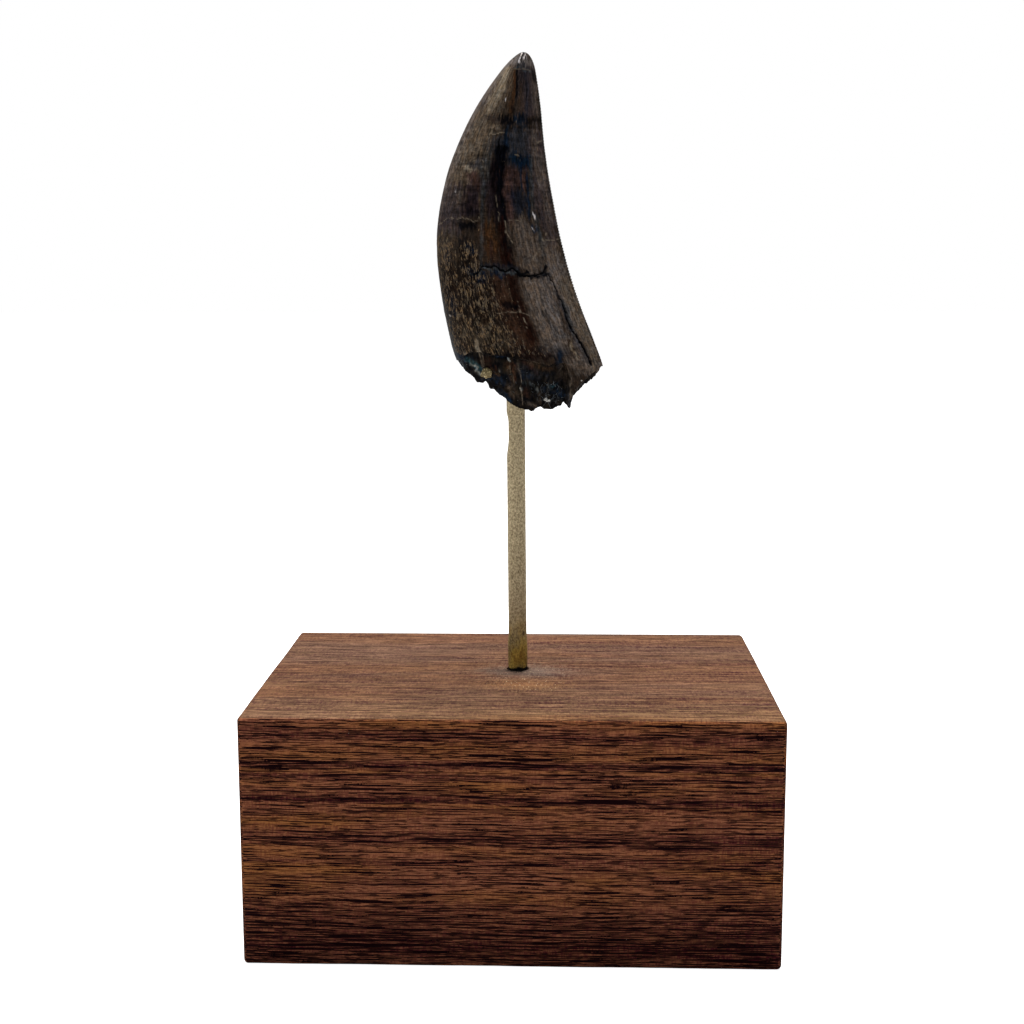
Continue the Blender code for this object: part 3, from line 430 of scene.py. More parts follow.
# Hairlines filled with pale mineral: line, half width in mm, strength
FRONT_HAIRLINES = (
    (((-1.6, 52.9), (-0.8, 52.8), (0.1, 53.0), (1.1, 53.0), (2.0, 52.7)), 0.13, 0.40),
    (((-4.2, 42.8), (-3.3, 42.9), (-2.7, 43.0), (-2.0, 43.1)), 0.12, 0.9),
    (((-3.9, 42.9), (-3.8, 43.7), (-3.4, 43.9)), 0.10, 0.6),
    (((-0.2, 45.1), (-0.2, 44.7)), 0.12, 0.8),
    (((3.2, 41.8), (3.5, 41.9), (3.9, 42.3)), 0.12, 0.7),
    (((-0.3, 39.7), (0.3, 39.6)), 0.12, 0.6),
    (((-12.1, 29.2), (-11.2, 29.8), (-10.6, 30.2), (-9.9, 30.0), (-9.0, 29.9), (-8.3, 30.2), (-7.4, 29.9),
      (-6.6, 29.5), (-6.0, 29.7), (-5.7, 30.2)), 0.11, 0.65),
    (((-3.2, 33.6), (-3.0, 32.0), (-2.9, 31.2), (-2.6, 30.8), (-2.7, 29.5)), 0.10, 0.6),
    (((-1.8, 29.7), (-1.6, 27.9), (-1.2, 27.2), (-0.6, 26.3)), 0.11, 0.8),
    (((-1.2, 29.7), (-0.2, 29.75), (0.8, 29.7)), 0.10, 0.6),
    (((0.8, 31.1), (0.8, 29.2)), 0.10, 0.5),
    (((3.9, 26.8), (5.4, 26.8), (6.5, 27.0)), 0.12, 0.8),
    (((4.5, 27.9), (4.5, 27.5)), 0.12, 0.9),
    (((3.8, 25.8), (3.1, 24.8), (2.5, 23.9)), 0.10, 0.8),
    (((-7.8, 37.7), (-7.3, 37.5), (-6.8, 37.4)), 0.16, 0.5),
    (((-5.3, 38.9), (-5.1, 38.6)), 0.12, 0.6),
    (((0.1, 17.3), (0.6, 15.8)), 0.12, 0.9),
    (((1.1, 14.8), (1.6, 13.3)), 0.13, 1.0),
    (((-2.9, 15.5), (-1.2, 15.8), (0.6, 15.7), (2.3, 15.2)), 0.10, 0.6),
    (((-10.0, 15.0), (-9.8, 14.8)), 0.12, 0.8),
    (((9.2, 9.5), (9.6, 8.3)), 0.14, 0.8),
    (((10.0, 14.7), (10.4, 14.9)), 0.14, 0.6),
    (((-6.1, 11.4), (-5.7, 9.8), (-5.5, 8.4)), 0.22, 0.9),
    (((-8.1, 9.3), (-7.5, 9.0)), 0.24, 0.8),
)
BACK_HAIRLINES = (
    (((-9.5, 27.0), (-7.8, 27.6), (-6.0, 27.0), (-4.4, 27.5)), 0.11, 0.8),
    (((1.0, 42.0), (2.0, 41.6), (3.4, 42.0)), 0.11, 0.8),
    (((3.6, 20.0), (4.4, 16.5)), 0.12, 0.9),
    (((-2.0, 36.0), (-1.6, 32.0), (-0.8, 29.5)), 0.10, 0.8),
)

# Open cracks: line, half width in mm at its start and its end, depth in mm
FRONT_CRACKS = (
    (((-6.6, 21.4), (-5.7, 21.9), (-5.2, 22.8), (-4.2, 22.6), (-3.2, 22.8), (-2.4, 22.2), (-1.6, 21.9),
      (-0.6, 22.5), (0.1, 21.9), (0.6, 21.3), (1.7, 21.3), (2.7, 21.3), (3.6, 21.6), (4.2, 21.7),
      (4.6, 22.8)), 0.18, 0.20, 0.30),
    (((4.9, 21.4), (5.8, 20.1), (6.6, 18.1), (7.5, 16.2), (7.8, 14.5), (8.7, 12.8), (9.5, 11.8),
      (10.2, 10.6), (10.8, 9.6), (11.4, 8.2), (11.75, 7.4)), 0.11, 0.28, 0.28),
    (((4.4, 15.9), (5.1, 15.1), (5.8, 13.7), (6.6, 12.0)), 0.12, 0.12, 0.10),
    (((1.8, 37.7), (2.1, 34.8), (2.7, 31.3), (3.3, 28.9), (3.6, 26.0), (4.4, 24.5), (4.5, 22.8)),
     0.16, 0.16, 0.06),
)
BACK_CRACKS = (
    (((-7.0, 20.5), (-4.6, 21.2), (-2.0, 20.4), (1.0, 21.5), (4.0, 20.8)), 0.20, 0.16, 0.26),
    (((1.8, 30.0), (2.8, 25.5), (4.2, 20.8), (6.2, 15.5), (8.0, 11.5)), 0.12, 0.24, 0.28),
)

# Denticles of the distal carina
DENTICLE_PITCH = 0.455
ROWS_A_DENTICLE = 3
DENTICLE_RELIEF = 0.08
DENTICLE_REACH = 0.55

# Points of the tooth's mesh
FRONT_COLUMNS = 148
BACK_COLUMNS = 74
SKIN_FOOT = 11.0  # mm, above the highest margin of the enamel
FOOT_ROWS = 24
BREAK_ROWS = 60
BORE_ROWS = 3
BEFORE_TOOTH = -20.0  # mm, in front of all of it

# The camera, the lights and the floor
CAMERA_PLACE = (0.006995, -0.237374, 0.09984)
CAMERA_TURN = 1.835  # degrees to the left
CAMERA_DOWN = 8.502
CAMERA_ROLL = -0.107
CAMERA_SENSOR = 36.0
CAMERA_NEAR = 0.01
LIGHT_AIM = Vector((0.0, 0.0, 0.07))
OVERHEAD_PLACE = (-0.02, 0.20, 0.95)
OVERHEAD_SIZE = 0.8
SIDE_PLACE = (-0.85, -0.30, 0.45)
SIDE_SIZE = 0.6
ROOM_COLOUR = (0.93, 0.96, 1.0, 1.0)
FLOOR_REACH = 6.0


def srgb(red, green, blue):
    """A colour given as 0 to 255 on a screen, as linear light."""
    values = [channel / 255 for channel in (red, green, blue)]
    return tuple(v / 12.92 if v <= 0.04045 else ((v + 0.055) / 1.055) ** 2.4 for v in values)


def colour_setting(name, about, colour, most=1):
    """A colour that the user can change."""
    return FloatVectorProperty(
        name=name, description=about, subtype="COLOR", size=3, min=0, max=most, default=colour,
    )


class ToothSettings(bpy.types.PropertyGroup):
    umber: colour_setting("Umber", "Plain enamel", srgb(47, 38, 31))
    # Taupe is also painted as the lit band down the upper mesial face.
    taupe: colour_setting("Taupe", "Weathered enamel near the tip", srgb(84, 73, 61))
    # Cream is also painted as highlights along the upper mesial ridge.
    cream: colour_setting("Cream", "The palest enamel", srgb(134, 121, 102))
    # Ash is also painted as a rim highlight along the mesial edge and as light on the tip.
    ash: colour_setting("Ash", "Thin grey enamel at the tip and the mesial edge", srgb(98, 90, 85))
    mauve: colour_setting("Mauve", "Enamel of the upper distal side", srgb(56, 48, 48))
    slate: colour_setting("Slate", "Smooth enamel of the distal side", srgb(90, 79, 70))
    gold: colour_setting("Gold", "Golden brown stain", srgb(64, 42, 25))
    rust: colour_setting("Rust", "Iron stain", srgb(60, 36, 24))
    oxblood: colour_setting("Oxblood", "Dark red iron stain", srgb(28, 10, 6))
    wine: colour_setting("Wine", "Dark wine-red stain", srgb(38, 29, 31))
    ink: colour_setting("Ink", "Manganese stain", srgb(4, 5, 9))
    navy: colour_setting("Navy", "Blue-black stain", srgb(11, 25, 39))
    charcoal: colour_setting("Charcoal", "Neutral dark enamel", srgb(43, 44, 48))
    # Bluegrey is also painted as a rim highlight along the mesial edge and the break's left edge.
    bluegrey: colour_setting("Bluegrey", "Blue-grey filling of old cracks", srgb(56, 63, 66))
    loam: colour_setting("Loam", "Ground of the flecked enamel", srgb(33, 25, 19))
    tan: colour_setting("Tan", "Flecks and dry mineral", srgb(130, 114, 90))
    teal: colour_setting("Teal", "Blue-green mineral", srgb(34, 60, 66))
    bronze: colour_setting("Bronze", "Golden brown dentine", srgb(68, 50, 34))
    # Chalk is also painted as one glint on the broken base.
    chalk: colour_setting("Chalk", "White mineral in the broken base", srgb(140, 142, 136))
    russet: colour_setting("Russet", "Dull red-brown stain", srgb(64, 46, 41))
    # Painted glints: the white strokes on the tip and the small white spots on the enamel.
    painted_glint: colour_setting("Frost", "Small white chips and the polished tip", srgb(238, 230, 226))
    pale: colour_setting("Pale", "Hairlines filled with pale mineral", srgb(142, 128, 110))
    dentine: colour_setting("Dentine", "Broken dentine", srgb(15, 13, 13))
    striation: FloatProperty(
        name="Striation", description="Height of the enamel's long ridges, in mm",
        default=0.035, min=0, max=0.2,
    )
    roughness: FloatProperty(
        name="Roughness", description="Of plain enamel", default=0.36, min=0, max=1, subtype="FACTOR",
    )


class StandSettings(bpy.types.PropertyGroup):
    walnut_light: colour_setting("Light walnut", "Early wood", srgb(153, 95, 68))
    walnut_dark: colour_setting("Dark walnut", "Late wood", srgb(65, 18, 27))
    walnut_amber: colour_setting("Amber walnut", "Golden early wood", srgb(157, 99, 57))
    # Tint of the top: a dusty film and partly a painted sheen.
    top_film_and_sheen: colour_setting("Top film", "Tint of the sanded top", (0.555, 0.80, 0.92), 2)
    pore: colour_setting("Pore", "Open pores", srgb(20, 3, 6))
    dust: colour_setting("Dust", "Pale dust round the rod's foot", srgb(120, 108, 98))
    brass: colour_setting("Brass", "Blasted brass", srgb(196, 173, 134))
    # Tarnish at the rod's foot, partly a painted reflection of the walnut.
    tarnish_and_reflection: colour_setting("Tarnish", "At the rod's foot", srgb(158, 136, 66))
    edge_round: FloatProperty(
        name="Edge round", description="Radius of the block's eased edges", default=0.7 * MM, min=0,
        subtype="DISTANCE", unit="LENGTH",
    )
    rod_sides: IntProperty(name="Rod sides", description="Corners round the rod", default=72, min=12, max=200)


class StageSettings(bpy.types.PropertyGroup):
    floor: colour_setting("Floor", "Pale floor", (0.50, 0.50, 0.50))
    glow: FloatProperty(
        name="Floor glow", description="Keeps the floor pale where the softboxes don't reach",
        default=0.94, min=0,
    )
    overhead: FloatProperty(name="Overhead", description="Softbox above, in watts", default=26.0, min=0)
    side: FloatProperty(name="Side", description="Softbox at the left, in watts", default=1.0, min=0)
    room: FloatProperty(name="Room", description="Strength of the room's light", default=0.16, min=0)
    lens: FloatProperty(
        name="Lens", description="Focal length", default=52.66, min=1, subtype="DISTANCE_CAMERA",
    )


# ---- small helpers for meshes and shaders ----


def smooth_step(low, high, value):
    share = np.clip((value - low) / (high - low), 0.0, 1.0)
    return share * share * (3.0 - 2.0 * share)


def link_mesh(name, mesh):
    obj = bpy.data.objects.new(name, mesh)
    bpy.context.scene.collection.objects.link(obj)
    return obj


def mesh_from(name, bm):
    mesh = bpy.data.meshes.new(name)
    bm.to_mesh(mesh)
    bm.free()
    return mesh


def keep(obj, slot, *nodes):
    """Makes obj a piece of the object, in the place of the CAD nodes named."""
    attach(obj, "root")
    if nodes:
        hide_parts(*nodes)


def feed(tree, node, inputs):
    """Joins or sets the node's inputs."""
    for name, value in inputs.items():
        if isinstance(value, bpy.types.NodeSocket):
            tree.links.new(value, node.inputs[name])
        else:
            node.inputs[name].default_value = value


def add(tree, kind, inputs=None, **settings):
    """Adds a node, sets its options, and joins or sets its inputs."""
    made = tree.nodes.new(kind)
    for name, value in settings.items():
        setattr(made, name, value)
    feed(tree, made, inputs or {})
    return made


def calc(tree, operation, *values):
    return add(tree, "ShaderNodeMath", dict(enumerate(values)), operation=operation).outputs[0]


def times(tree, first, second):
    return calc(tree, "MULTIPLY", first, second)


def times_plus(tree, first, second, third):
    return calc(tree, "MULTIPLY_ADD", first, second, third)


def vector_calc(tree, operation, *values):
    return add(tree, "ShaderNodeVectorMath", dict(enumerate(values)), operation=operation).outputs[0]


def along_axis(tree, vector, axis):
    return add(tree, "ShaderNodeSeparateXYZ", {0: vector}).outputs[axis]


def object_place(tree):
    return add(tree, "ShaderNodeTexCoord").outputs["Object"]


def tinted(tree, colour, tint):
    """The colour times the tint."""
    inputs = {"Factor": 1.0, 6: colour, 7: tint}
    return add(tree, "ShaderNodeMix", inputs, data_type="RGBA", blend_type="MULTIPLY").outputs[2]


def fade(tree, value, low, high, to_low=0.0, to_high=1.0):
    """value mapped smoothly from low..high to to_low..to_high."""
    inputs = {"Value": value, "From Min": low, "From Max": high, "To Min": to_low, "To Max": to_high}
    return add(tree, "ShaderNodeMapRange", inputs, interpolation_type="SMOOTHSTEP").outputs["Result"]


def blend(tree, factor, first, second):
    """Colour mix from first to second."""
    made = add(tree, "ShaderNodeMix", {"Factor": factor}, data_type="RGBA")
    for socket, value in ((made.inputs[6], first), (made.inputs[7], second)):
        if isinstance(value, bpy.types.NodeSocket):
            tree.links.new(value, socket)
        else:
            socket.default_value = (*value[:3], 1.0)
    return made.outputs[2]


def shade(colour, factor):
    return tuple(min(1.0, channel * factor) for channel in colour)


def tones(tree, factor, colour, darkest, lightest):
    """The colour from darkest to lightest times itself, as factor goes from 0 to 1."""
    return blend(tree, factor, shade(colour, darkest), shade(colour, lightest))


def attribute(tree, name, output="Fac"):
    return add(tree, "ShaderNodeAttribute", attribute_name=name).outputs[output]


def new_material(name):
    material = bpy.data.materials.new(name)
    material.use_nodes = True
    tree = material.node_tree
    return material, tree, tree.nodes["Principled BSDF"]


def new_group(name, inputs, outputs):
    """A shader node group with its sockets: {name: (kind, default)}."""
    tree = bpy.data.node_groups.new(name, "ShaderNodeTree")
    for socket, (kind, default) in inputs.items():
        made = tree.interface.new_socket(socket, in_out="INPUT", socket_type=f"NodeSocket{kind}")
        made.default_value = default
    for socket, kind in outputs.items():
        tree.interface.new_socket(socket, in_out="OUTPUT", socket_type=f"NodeSocket{kind}")
    entry = tree.nodes.new("NodeGroupInput")
    leave = tree.nodes.new("NodeGroupOutput")
    return tree, entry.outputs, leave.inputs


def fibre_group():
    """Noise drawn out along one direction: wood grain, enamel ridges, drawing lines on the rod."""
    name = "fibre"
    if name in bpy.data.node_groups:
        return bpy.data.node_groups[name]
    tree, given, out = new_group(
        name,
        {
            "Place": ("Vector", (0, 0, 0)),
            "Stretch": ("Vector", (1, 1, 1)),
            "Scale": ("Float", 1.0),
            "Detail": ("Float", 2.0),
            "Contrast": ("Float", 0.3),
        },
        {"Value": "Float"},
    )
    place = vector_calc(tree, "MULTIPLY", given["Place"], given["Stretch"])
    grain = add(
        tree, "ShaderNodeTexNoise",
        {"Vector": place, "Scale": given["Scale"], "Detail": given["Detail"], "Roughness": 0.6},
    )
    low = calc(tree, "SUBTRACT", 0.5, given["Contrast"])
    high = calc(tree, "ADD", 0.5, given["Contrast"])
    tree.links.new(fade(tree, grain.outputs[0], low, high), out["Value"])
    return tree


def speck_group():
    """Scattered specks of uneven size: wood pores, mineral flecks, pits of blasted metal, dust."""
    name = "specks"
    if name in bpy.data.node_groups:
        return bpy.data.node_groups[name]
    tree, given, out = new_group(
        name,
        {
            "Place": ("Vector", (0, 0, 0)),
            "Stretch": ("Vector", (1, 1, 1)),
            "Scale": ("Float", 1.0),
            "Size": ("Float", 0.3),
            "Share": ("Float", 1.0),
        },
        {"Mask": "Float", "Tone": "Float"},
    )
    place = vector_calc(tree, "MULTIPLY", given["Place"], given["Stretch"])
    cell = add(
        tree, "ShaderNodeTexVoronoi",
        {"Vector": place, "Scale": given["Scale"], "Randomness": 1.0},
        feature="F1",
    )
    pick = add(tree, "ShaderNodeSeparateColor", {0: cell.outputs["Color"]})
    present = calc(tree, "LESS_THAN", pick.outputs[0], given["Share"])
    size = times(tree, given["Size"], fade(tree, pick.outputs[1], 0.0, 1.0, 0.5, 1.0))
    inside = fade(tree, calc(tree, "DIVIDE", cell.outputs["Distance"], size), 0.55, 1.0, 1.0, 0.0)
    tree.links.new(times(tree, inside, present), out["Mask"])
    tree.links.new(pick.outputs[2], out["Tone"])
    return tree


def fibre(tree, place, scale, stretch=(1, 1, 1), detail=2.0, contrast=0.3):
    inputs = {"Place": place, "Stretch": stretch, "Scale": scale, "Detail": detail, "Contrast": contrast}
    return add(tree, "ShaderNodeGroup", inputs, node_tree=fibre_group()).outputs["Value"]


def specks(tree, place, scale, size, share=1.0, stretch=(1, 1, 1)):
    inputs = {"Place": place, "Stretch": stretch, "Scale": scale, "Size": size, "Share": share}
    return add(tree, "ShaderNodeGroup", inputs, node_tree=speck_group()).outputs


def bump(tree, shader, height, distance):
    made = add(tree, "ShaderNodeBump", {"Height": height, "Distance": distance, "Strength": 1.0})
    feed(tree, shader, {"Normal": made.outputs["Normal"]})


# ---- the tooth's shape ----


def down_share(height):
    return np.sqrt(np.maximum(0.0, 1.0 - np.asarray(height, float) / CROWN_HEIGHT))


CROWN_KNOTS = down_share(CROWN_STATIONS[:, 0])


def crown_section(height):
    """Mesial edge, distal edge and thickness at each height, on a smooth curve through the stations."""
    share = down_share(height)
    i = np.clip(np.searchsorted(CROWN_KNOTS, share, side="right") - 1, 0, len(CROWN_KNOTS) - 2)
    span = CROWN_KNOTS[i + 1] - CROWN_KNOTS[i]
    t = ((share - CROWN_KNOTS[i]) / span)[..., None]
    before, after = np.maximum(0, i - 1), np.minimum(len(CROWN_KNOTS) - 1, i + 2)
    values = CROWN_STATIONS[:, 1:]
    start_share = span / (CROWN_KNOTS[i + 1] - CROWN_KNOTS[before])
    end_share = span / (CROWN_KNOTS[after] - CROWN_KNOTS[i])
    start_slope = (values[i + 1] - values[before]) * start_share[..., None]
    end_slope = (values[after] - values[i]) * end_share[..., None]
    curve = (
        (2 * t**3 - 3 * t**2 + 1) * values[i]
        + (t**3 - 2 * t**2 + t) * start_slope
        + (3 * t**2 - 2 * t**3) * values[i + 1]
        + (t**3 - t**2) * end_slope
    )
    mesial, distal, ratio = np.moveaxis(curve, -1, 0)
    return mesial, distal, ratio * (distal - mesial)


def section_profile(u):
    widest = (MESIAL_ROUND - DISTAL_TAPER) / (MESIAL_ROUND + DISTAL_TAPER)
    most = (1 + widest) ** MESIAL_ROUND * (1 - widest) ** DISTAL_TAPER
    return np.maximum(0.0, 1 + u) ** MESIAL_ROUND * np.maximum(0.0, 1 - u) ** DISTAL_TAPER / most


def noise_field(*axes):
    """Perlin noise at every point of arrays of coordinates."""
    flat = [np.ravel(axis) for axis in np.broadcast_arrays(*axes)]
    values = [noise.noise(Vector(point)) for point in zip(*flat)]
    return np.array(values).reshape(np.broadcast(*axes).shape)


def crown_point(height, u, side):
    """Points of the crown's smooth skin: x, y and height in mm. side is -1 in front and 1 behind."""
    height, u, side = np.broadcast_arrays(np.asarray(height, float), u, side)
    mesial, distal, thickness = crown_section(height)
    x = (mesial + distal) / 2 + u * (distal - mesial) / 2
    profile = section_profile(u)
    half = thickness * np.where(side < 0, FRONT_SHARE, 1 - FRONT_SHARE) * profile
    flute = np.exp(-(((u - FLUTE_CENTRE) / FLUTE_WIDTH) ** 2)) * smooth_step(50.0, 30.0, height)
    slow = noise_field(x * 0.16, side * 7.0, height * 0.09)
    relief = (SWELL * slow - FLUTE_DEPTH * flute) * profile
    lean = LEAN_BACK * (np.maximum(0.0, height) / CROWN_HEIGHT) ** 2
    return np.stack((x, lean + side * (half + relief), height), axis=-1)


def facets(x, y):
    """Tilted flats of broken dentine."""
    place = Vector((x / FACET_SIZE, y / FACET_SIZE, 3.7))
    _, cells = noise.voronoi(place)
    tilt = noise.cell_vector(cells[0] * 31.0)
    across = place - cells[0]
    return FACET_RELIEF * (tilt.z + 1.4 * (tilt.x * across.x + tilt.y * across.y))


def broken_rise(share):
    return 0.30 * smooth_step(0.0, 0.5, share) + 0.60 * smooth_step(0.32, 0.78, share) + 0.10 * share


def along(points, x):
    return float(np.interp(x, *zip(*points)))


def break_height(x, y):
    """Height of the broken underside over a point of the tooth's plan, as in the solids."""
    mesial, distal, thickness = (float(v) for v in crown_section(np.array(8.0)))
    u = min(0.98, max(-0.98, (2 * x - mesial - distal) / (distal - mesial)))
    half = thickness / 2 * float(section_profile(u))
    across = max(-1.0, min(1.0, y / half))
    rim = along(BREAK_LINE, x)
    roughness = facets(x, y)
    if across < RIM_FRONT:
        share = (RIM_FRONT - across) / (1 + RIM_FRONT)
        rise = (along(FRONT_MARGIN, x) - rim) * broken_rise(share)
        return rim + rise + roughness * math.sin(math.pi * min(1.0, share))
    open_share = float(smooth_step(0.0, 3.0, 7.5 - rim))
    back_rim = rim + BACK_RIM_LIFT * open_share
    if across > RIM_BACK:
        share = (across - RIM_BACK) / (1 - RIM_BACK)
        rise = (along(BACK_MARGIN, x) - back_rim) * broken_rise(share)
        return back_rim + rise + roughness * 0.8
    share = (across - RIM_FRONT) / (RIM_BACK - RIM_FRONT)
    hollow = PULP_HOLLOW * math.sin(math.pi * share) * open_share
    return rim + (back_rim - rim) * share + hollow + roughness * share


def margin_heights(u, side):
    """Height at which each column of the crown's skin meets the break."""
    low, high = np.full(len(u), -1.5), np.full(len(u), 18.0)
    for _ in range(24):
        middle = (low + high) / 2
        points = crown_point(middle, u, side)
        floor = np.array([break_height(x, y) for x, y, _ in points])
        above = middle > floor
        high = np.where(above, middle, high)
        low = np.where(above, low, middle)
    return (low + high) / 2


def even_columns(count):
    """u from the mesial edge to the distal one, evenly along the section's face, and closer at the end."""
    mesial, distal, thickness = (float(v) for v in crown_section(np.array(20.0)))
    u = -np.cos(np.linspace(0, math.pi, 2000))
    x, y = u * (distal - mesial) / 2, section_profile(u) * thickness / 2
    arc = np.concatenate(((0.0,), np.cumsum(np.hypot(np.diff(x), np.diff(y)))))
    keel = 0.7
    even = np.interp(np.linspace(0, arc[-1] - keel, count), arc, u)
    near = np.interp(arc[-1] - keel * np.array((0.72, 0.46, 0.24, 0.09)), arc, u)
    return np.concatenate((even, near))


def tooth_columns():
    front = np.concatenate((even_columns(FRONT_COLUMNS), (1.0,)))
    back = even_columns(BACK_COLUMNS)[:0:-1]
    u = np.concatenate((front, back))
    side = np.concatenate((-np.ones(len(front)), np.ones(len(back))))
    return u, side


def row_heights():
    """Heights a third of a denticle apart along the distal edge, from the tip to the foot of the skin."""
    share = np.linspace(0, float(down_share(SKIN_FOOT)), 4000)
    height = CROWN_HEIGHT * (1 - share**2)
    _, distal, _ = crown_section(height)
    arc = np.concatenate(((0.0,), np.cumsum(np.hypot(np.diff(distal), np.diff(height)))))
    count = int(arc[-1] / DENTICLE_PITCH * ROWS_A_DENTICLE)
    return np.interp(np.linspace(0, arc[-1], count + 1)[1:], arc, height)


def line_distance(line, x, height, half_width, half_height):
    """Distance of each point from a line, in units of the two half sizes, and the share along it."""
    corners = np.array(line, float) / (half_width, half_height)
    here = np.stack((x / half_width, height / half_height), axis=-1)
    best = np.full(x.shape, np.inf)
    share_there = np.zeros(x.shape)
    runs = list(zip(corners[:-1], corners[1:])) or [(corners[0], corners[0])]
    for i, (start, end) in enumerate(runs):
        run = end - start
        share = np.clip(((here - start) @ run) / max(run @ run, 1e-9), 0, 1)
        distance = np.linalg.norm(here - start - share[..., None] * run, axis=-1)
        nearer = distance < best
        best = np.where(nearer, distance, best)
        share_there = np.where(nearer, (i + share) / len(runs), share_there)
    return best, share_there


def flecked(strokes, x, height):
    mask = np.zeros(x.shape)
    for line, half_width, half_height, strength in strokes:
        distance, _ = line_distance(line, x, height, half_width, half_height)
        mask = np.maximum(mask, strength * (1 - smooth_step(0.5, 1.3, distance)))
    return mask


def painted(colour, strokes, settings, x, height, fray):
    """The colours after strokes of paint, whose edges fray with the enamel's ridges."""
    for tone, strength, half_width, half_height, line in strokes:
        distance, _ = line_distance(line, x, height, half_width, half_height)
        cover = strength * (1 - smooth_step(0.45, 1.5, distance + fray))
        colour = colour + cover[..., None] * (np.array(getattr(settings, tone)) - colour)
    return colour


def hairline_mask(hairlines, x, height):
    mask = np.zeros(x.shape)
    for line, half_width, strength in hairlines:
        distance, _ = line_distance(line, x, height, half_width, half_width)
        mask = np.maximum(mask, strength * (1 - smooth_step(0.2, 1.0, distance)))
    return mask


def crack_depth(cracks, x, height):
    """How deep the open cracks are, in mm, and a mask of their dark inside."""
    depth, mask = np.zeros(x.shape), np.zeros(x.shape)
    for line, start_width, end_width, deepest in cracks:
        distance, share = line_distance(line, x, height, 1.0, 1.0)
        width = start_width + (end_width - start_width) * share
        inside = np.clip(1 - distance / width, 0, 1)
        ends = smooth_step(0.0, 0.04, share) * smooth_step(1.0, 0.96, share)
        depth = np.maximum(depth, deepest * np.sqrt(inside) * (0.4 + 0.6 * ends))
        mask = np.maximum(mask, smooth_step(0.0, 0.5, inside) * min(1.0, deepest / 0.2))
    return depth, mask


def grid_normals(points):
    """Outward normals of a grid of points that closes on itself sideways."""
    down = np.gradient(points, axis=0)
    round_it = np.roll(points, -1, axis=1) - np.roll(points, 1, axis=1)
    normal = np.cross(down, round_it)
    length = np.linalg.norm(normal, axis=-1, keepdims=True)
    return normal / np.maximum(length, 1e-9)


def skin_grid(u, side):
    """Smooth points of the enamel, rows from the tip down to the break."""
    heights = row_heights()
    margins = margin_heights(u, side)
    foot = SKIN_FOOT + (margins - SKIN_FOOT) * (np.arange(1, FOOT_ROWS + 1) / FOOT_ROWS)[:, None]
    skin_heights = np.concatenate((np.repeat(heights[:, None], len(u), axis=1), foot))
    return crown_point(skin_heights, u[None, :], side[None, :])


def creased(fine_share, coarse, fine):
    """Noise of two sizes, folded at zero, which leaves sharp creases."""
    return np.abs(noise_field(*coarse)) + fine_share * np.abs(noise_field(*fine))


def broken_grid(edge, u, side):
    """Points of the broken underside, from the enamel's edge across to the bore, then up the bore."""
    bore = (ROD_RADIUS + GLUE_GAP) / MM
    turn = np.arccos(-u)
    mouth = np.stack((BORE_X - np.cos(turn) * bore, side * np.sin(turn) * bore), axis=-1)
    shares = ((np.arange(1, BREAK_ROWS + 1) / BREAK_ROWS) ** 1.25)[:, None, None]
    plan = edge[:, :2] * (1 - shares) + mouth * shares
    x, y = plan[..., 0], plan[..., 1]
    base = np.array([break_height(px, py) for px, py in plan.reshape(-1, 2)]).reshape(x.shape)
    share = shares[..., 0]
    splinters = creased(0.4, (x * 0.7, y * 1.1, 11.0), (x * 1.6, y * 2.2, 17.0))
    rough = 0.5 * (splinters - 0.25) * smooth_step(0.0, 0.06, share) * smooth_step(1.0, 0.9, share)
    broken = np.stack((x, y, base + rough), axis=-1)
    shards = creased(0.3, (x * 1.2, y * 1.2, base * 0.5), (x * 2.8, y * 2.8, base * 1.2))
    ends = smooth_step(0.0, 0.08, share) * smooth_step(1.0, 0.85, share)
    broken = broken + grid_normals(broken) * (0.4 * (shards - 0.2) * ends)[..., None]
    top = (ROD_IN_TOOTH + GLUE_GAP) / MM
    climbs = (np.arange(1, BORE_ROWS + 1) / BORE_ROWS)[:, None]
    bore_z = broken[-1, :, 2] + (top - broken[-1, :, 2]) * climbs
    bore_xy = np.broadcast_to(mouth, (BORE_ROWS, len(u), 2))
    return np.concatenate((broken, np.concatenate((bore_xy, bore_z[..., None]), axis=-1)))


def broken_paint(rest, settings):
    """The colours of the broken underside and the bore."""
    rest_x, rest_y, rest_h = np.moveaxis(rest, -1, 0)
    rest_front = rest_y < 0
    lumps = noise_field(rest_x * 1.1, rest_y * 1.1, rest_h * 0.6)
    crumbs = noise_field(rest_x * 2.7, rest_y * 2.7, rest_h * 1.9)
    colour = np.broadcast_to(np.array(settings.dentine), (*rest_x.shape, 3))
    dark = smooth_step(-0.25, 0.2, lumps)[..., None]
    colour = colour + 0.9 * dark * (np.array(settings.ink) - colour)
    warped = rest_x + 0.14 * crumbs, rest_h + 0.16 * lumps
    fray = 0.5 * crumbs
    colour = np.where(
        rest_front[..., None],
        painted(colour, FRONT_BREAK_PAINT, settings, *warped, fray),
        painted(colour, BACK_BREAK_PAINT, settings, *warped, fray),
    )
    inner = smooth_step(-2.6, -1.2, rest_y) * smooth_step(3.4, 2.0, rest_y)
    inner = (inner * smooth_step(0.0, 3.0, 9.0 - np.abs(rest_x)))[..., None]
    colour = colour + 0.7 * inner * (np.array(settings.ink) * 1.4 - colour)
    splinters = noise_field(rest_x * 2.2, rest_y * 2.2, rest_h * 1.6)
    colour = colour * (np.clip(1 + 1.0 * crumbs + 0.9 * splinters, 0.2, 2.0) ** 1.2)[..., None]
    return colour


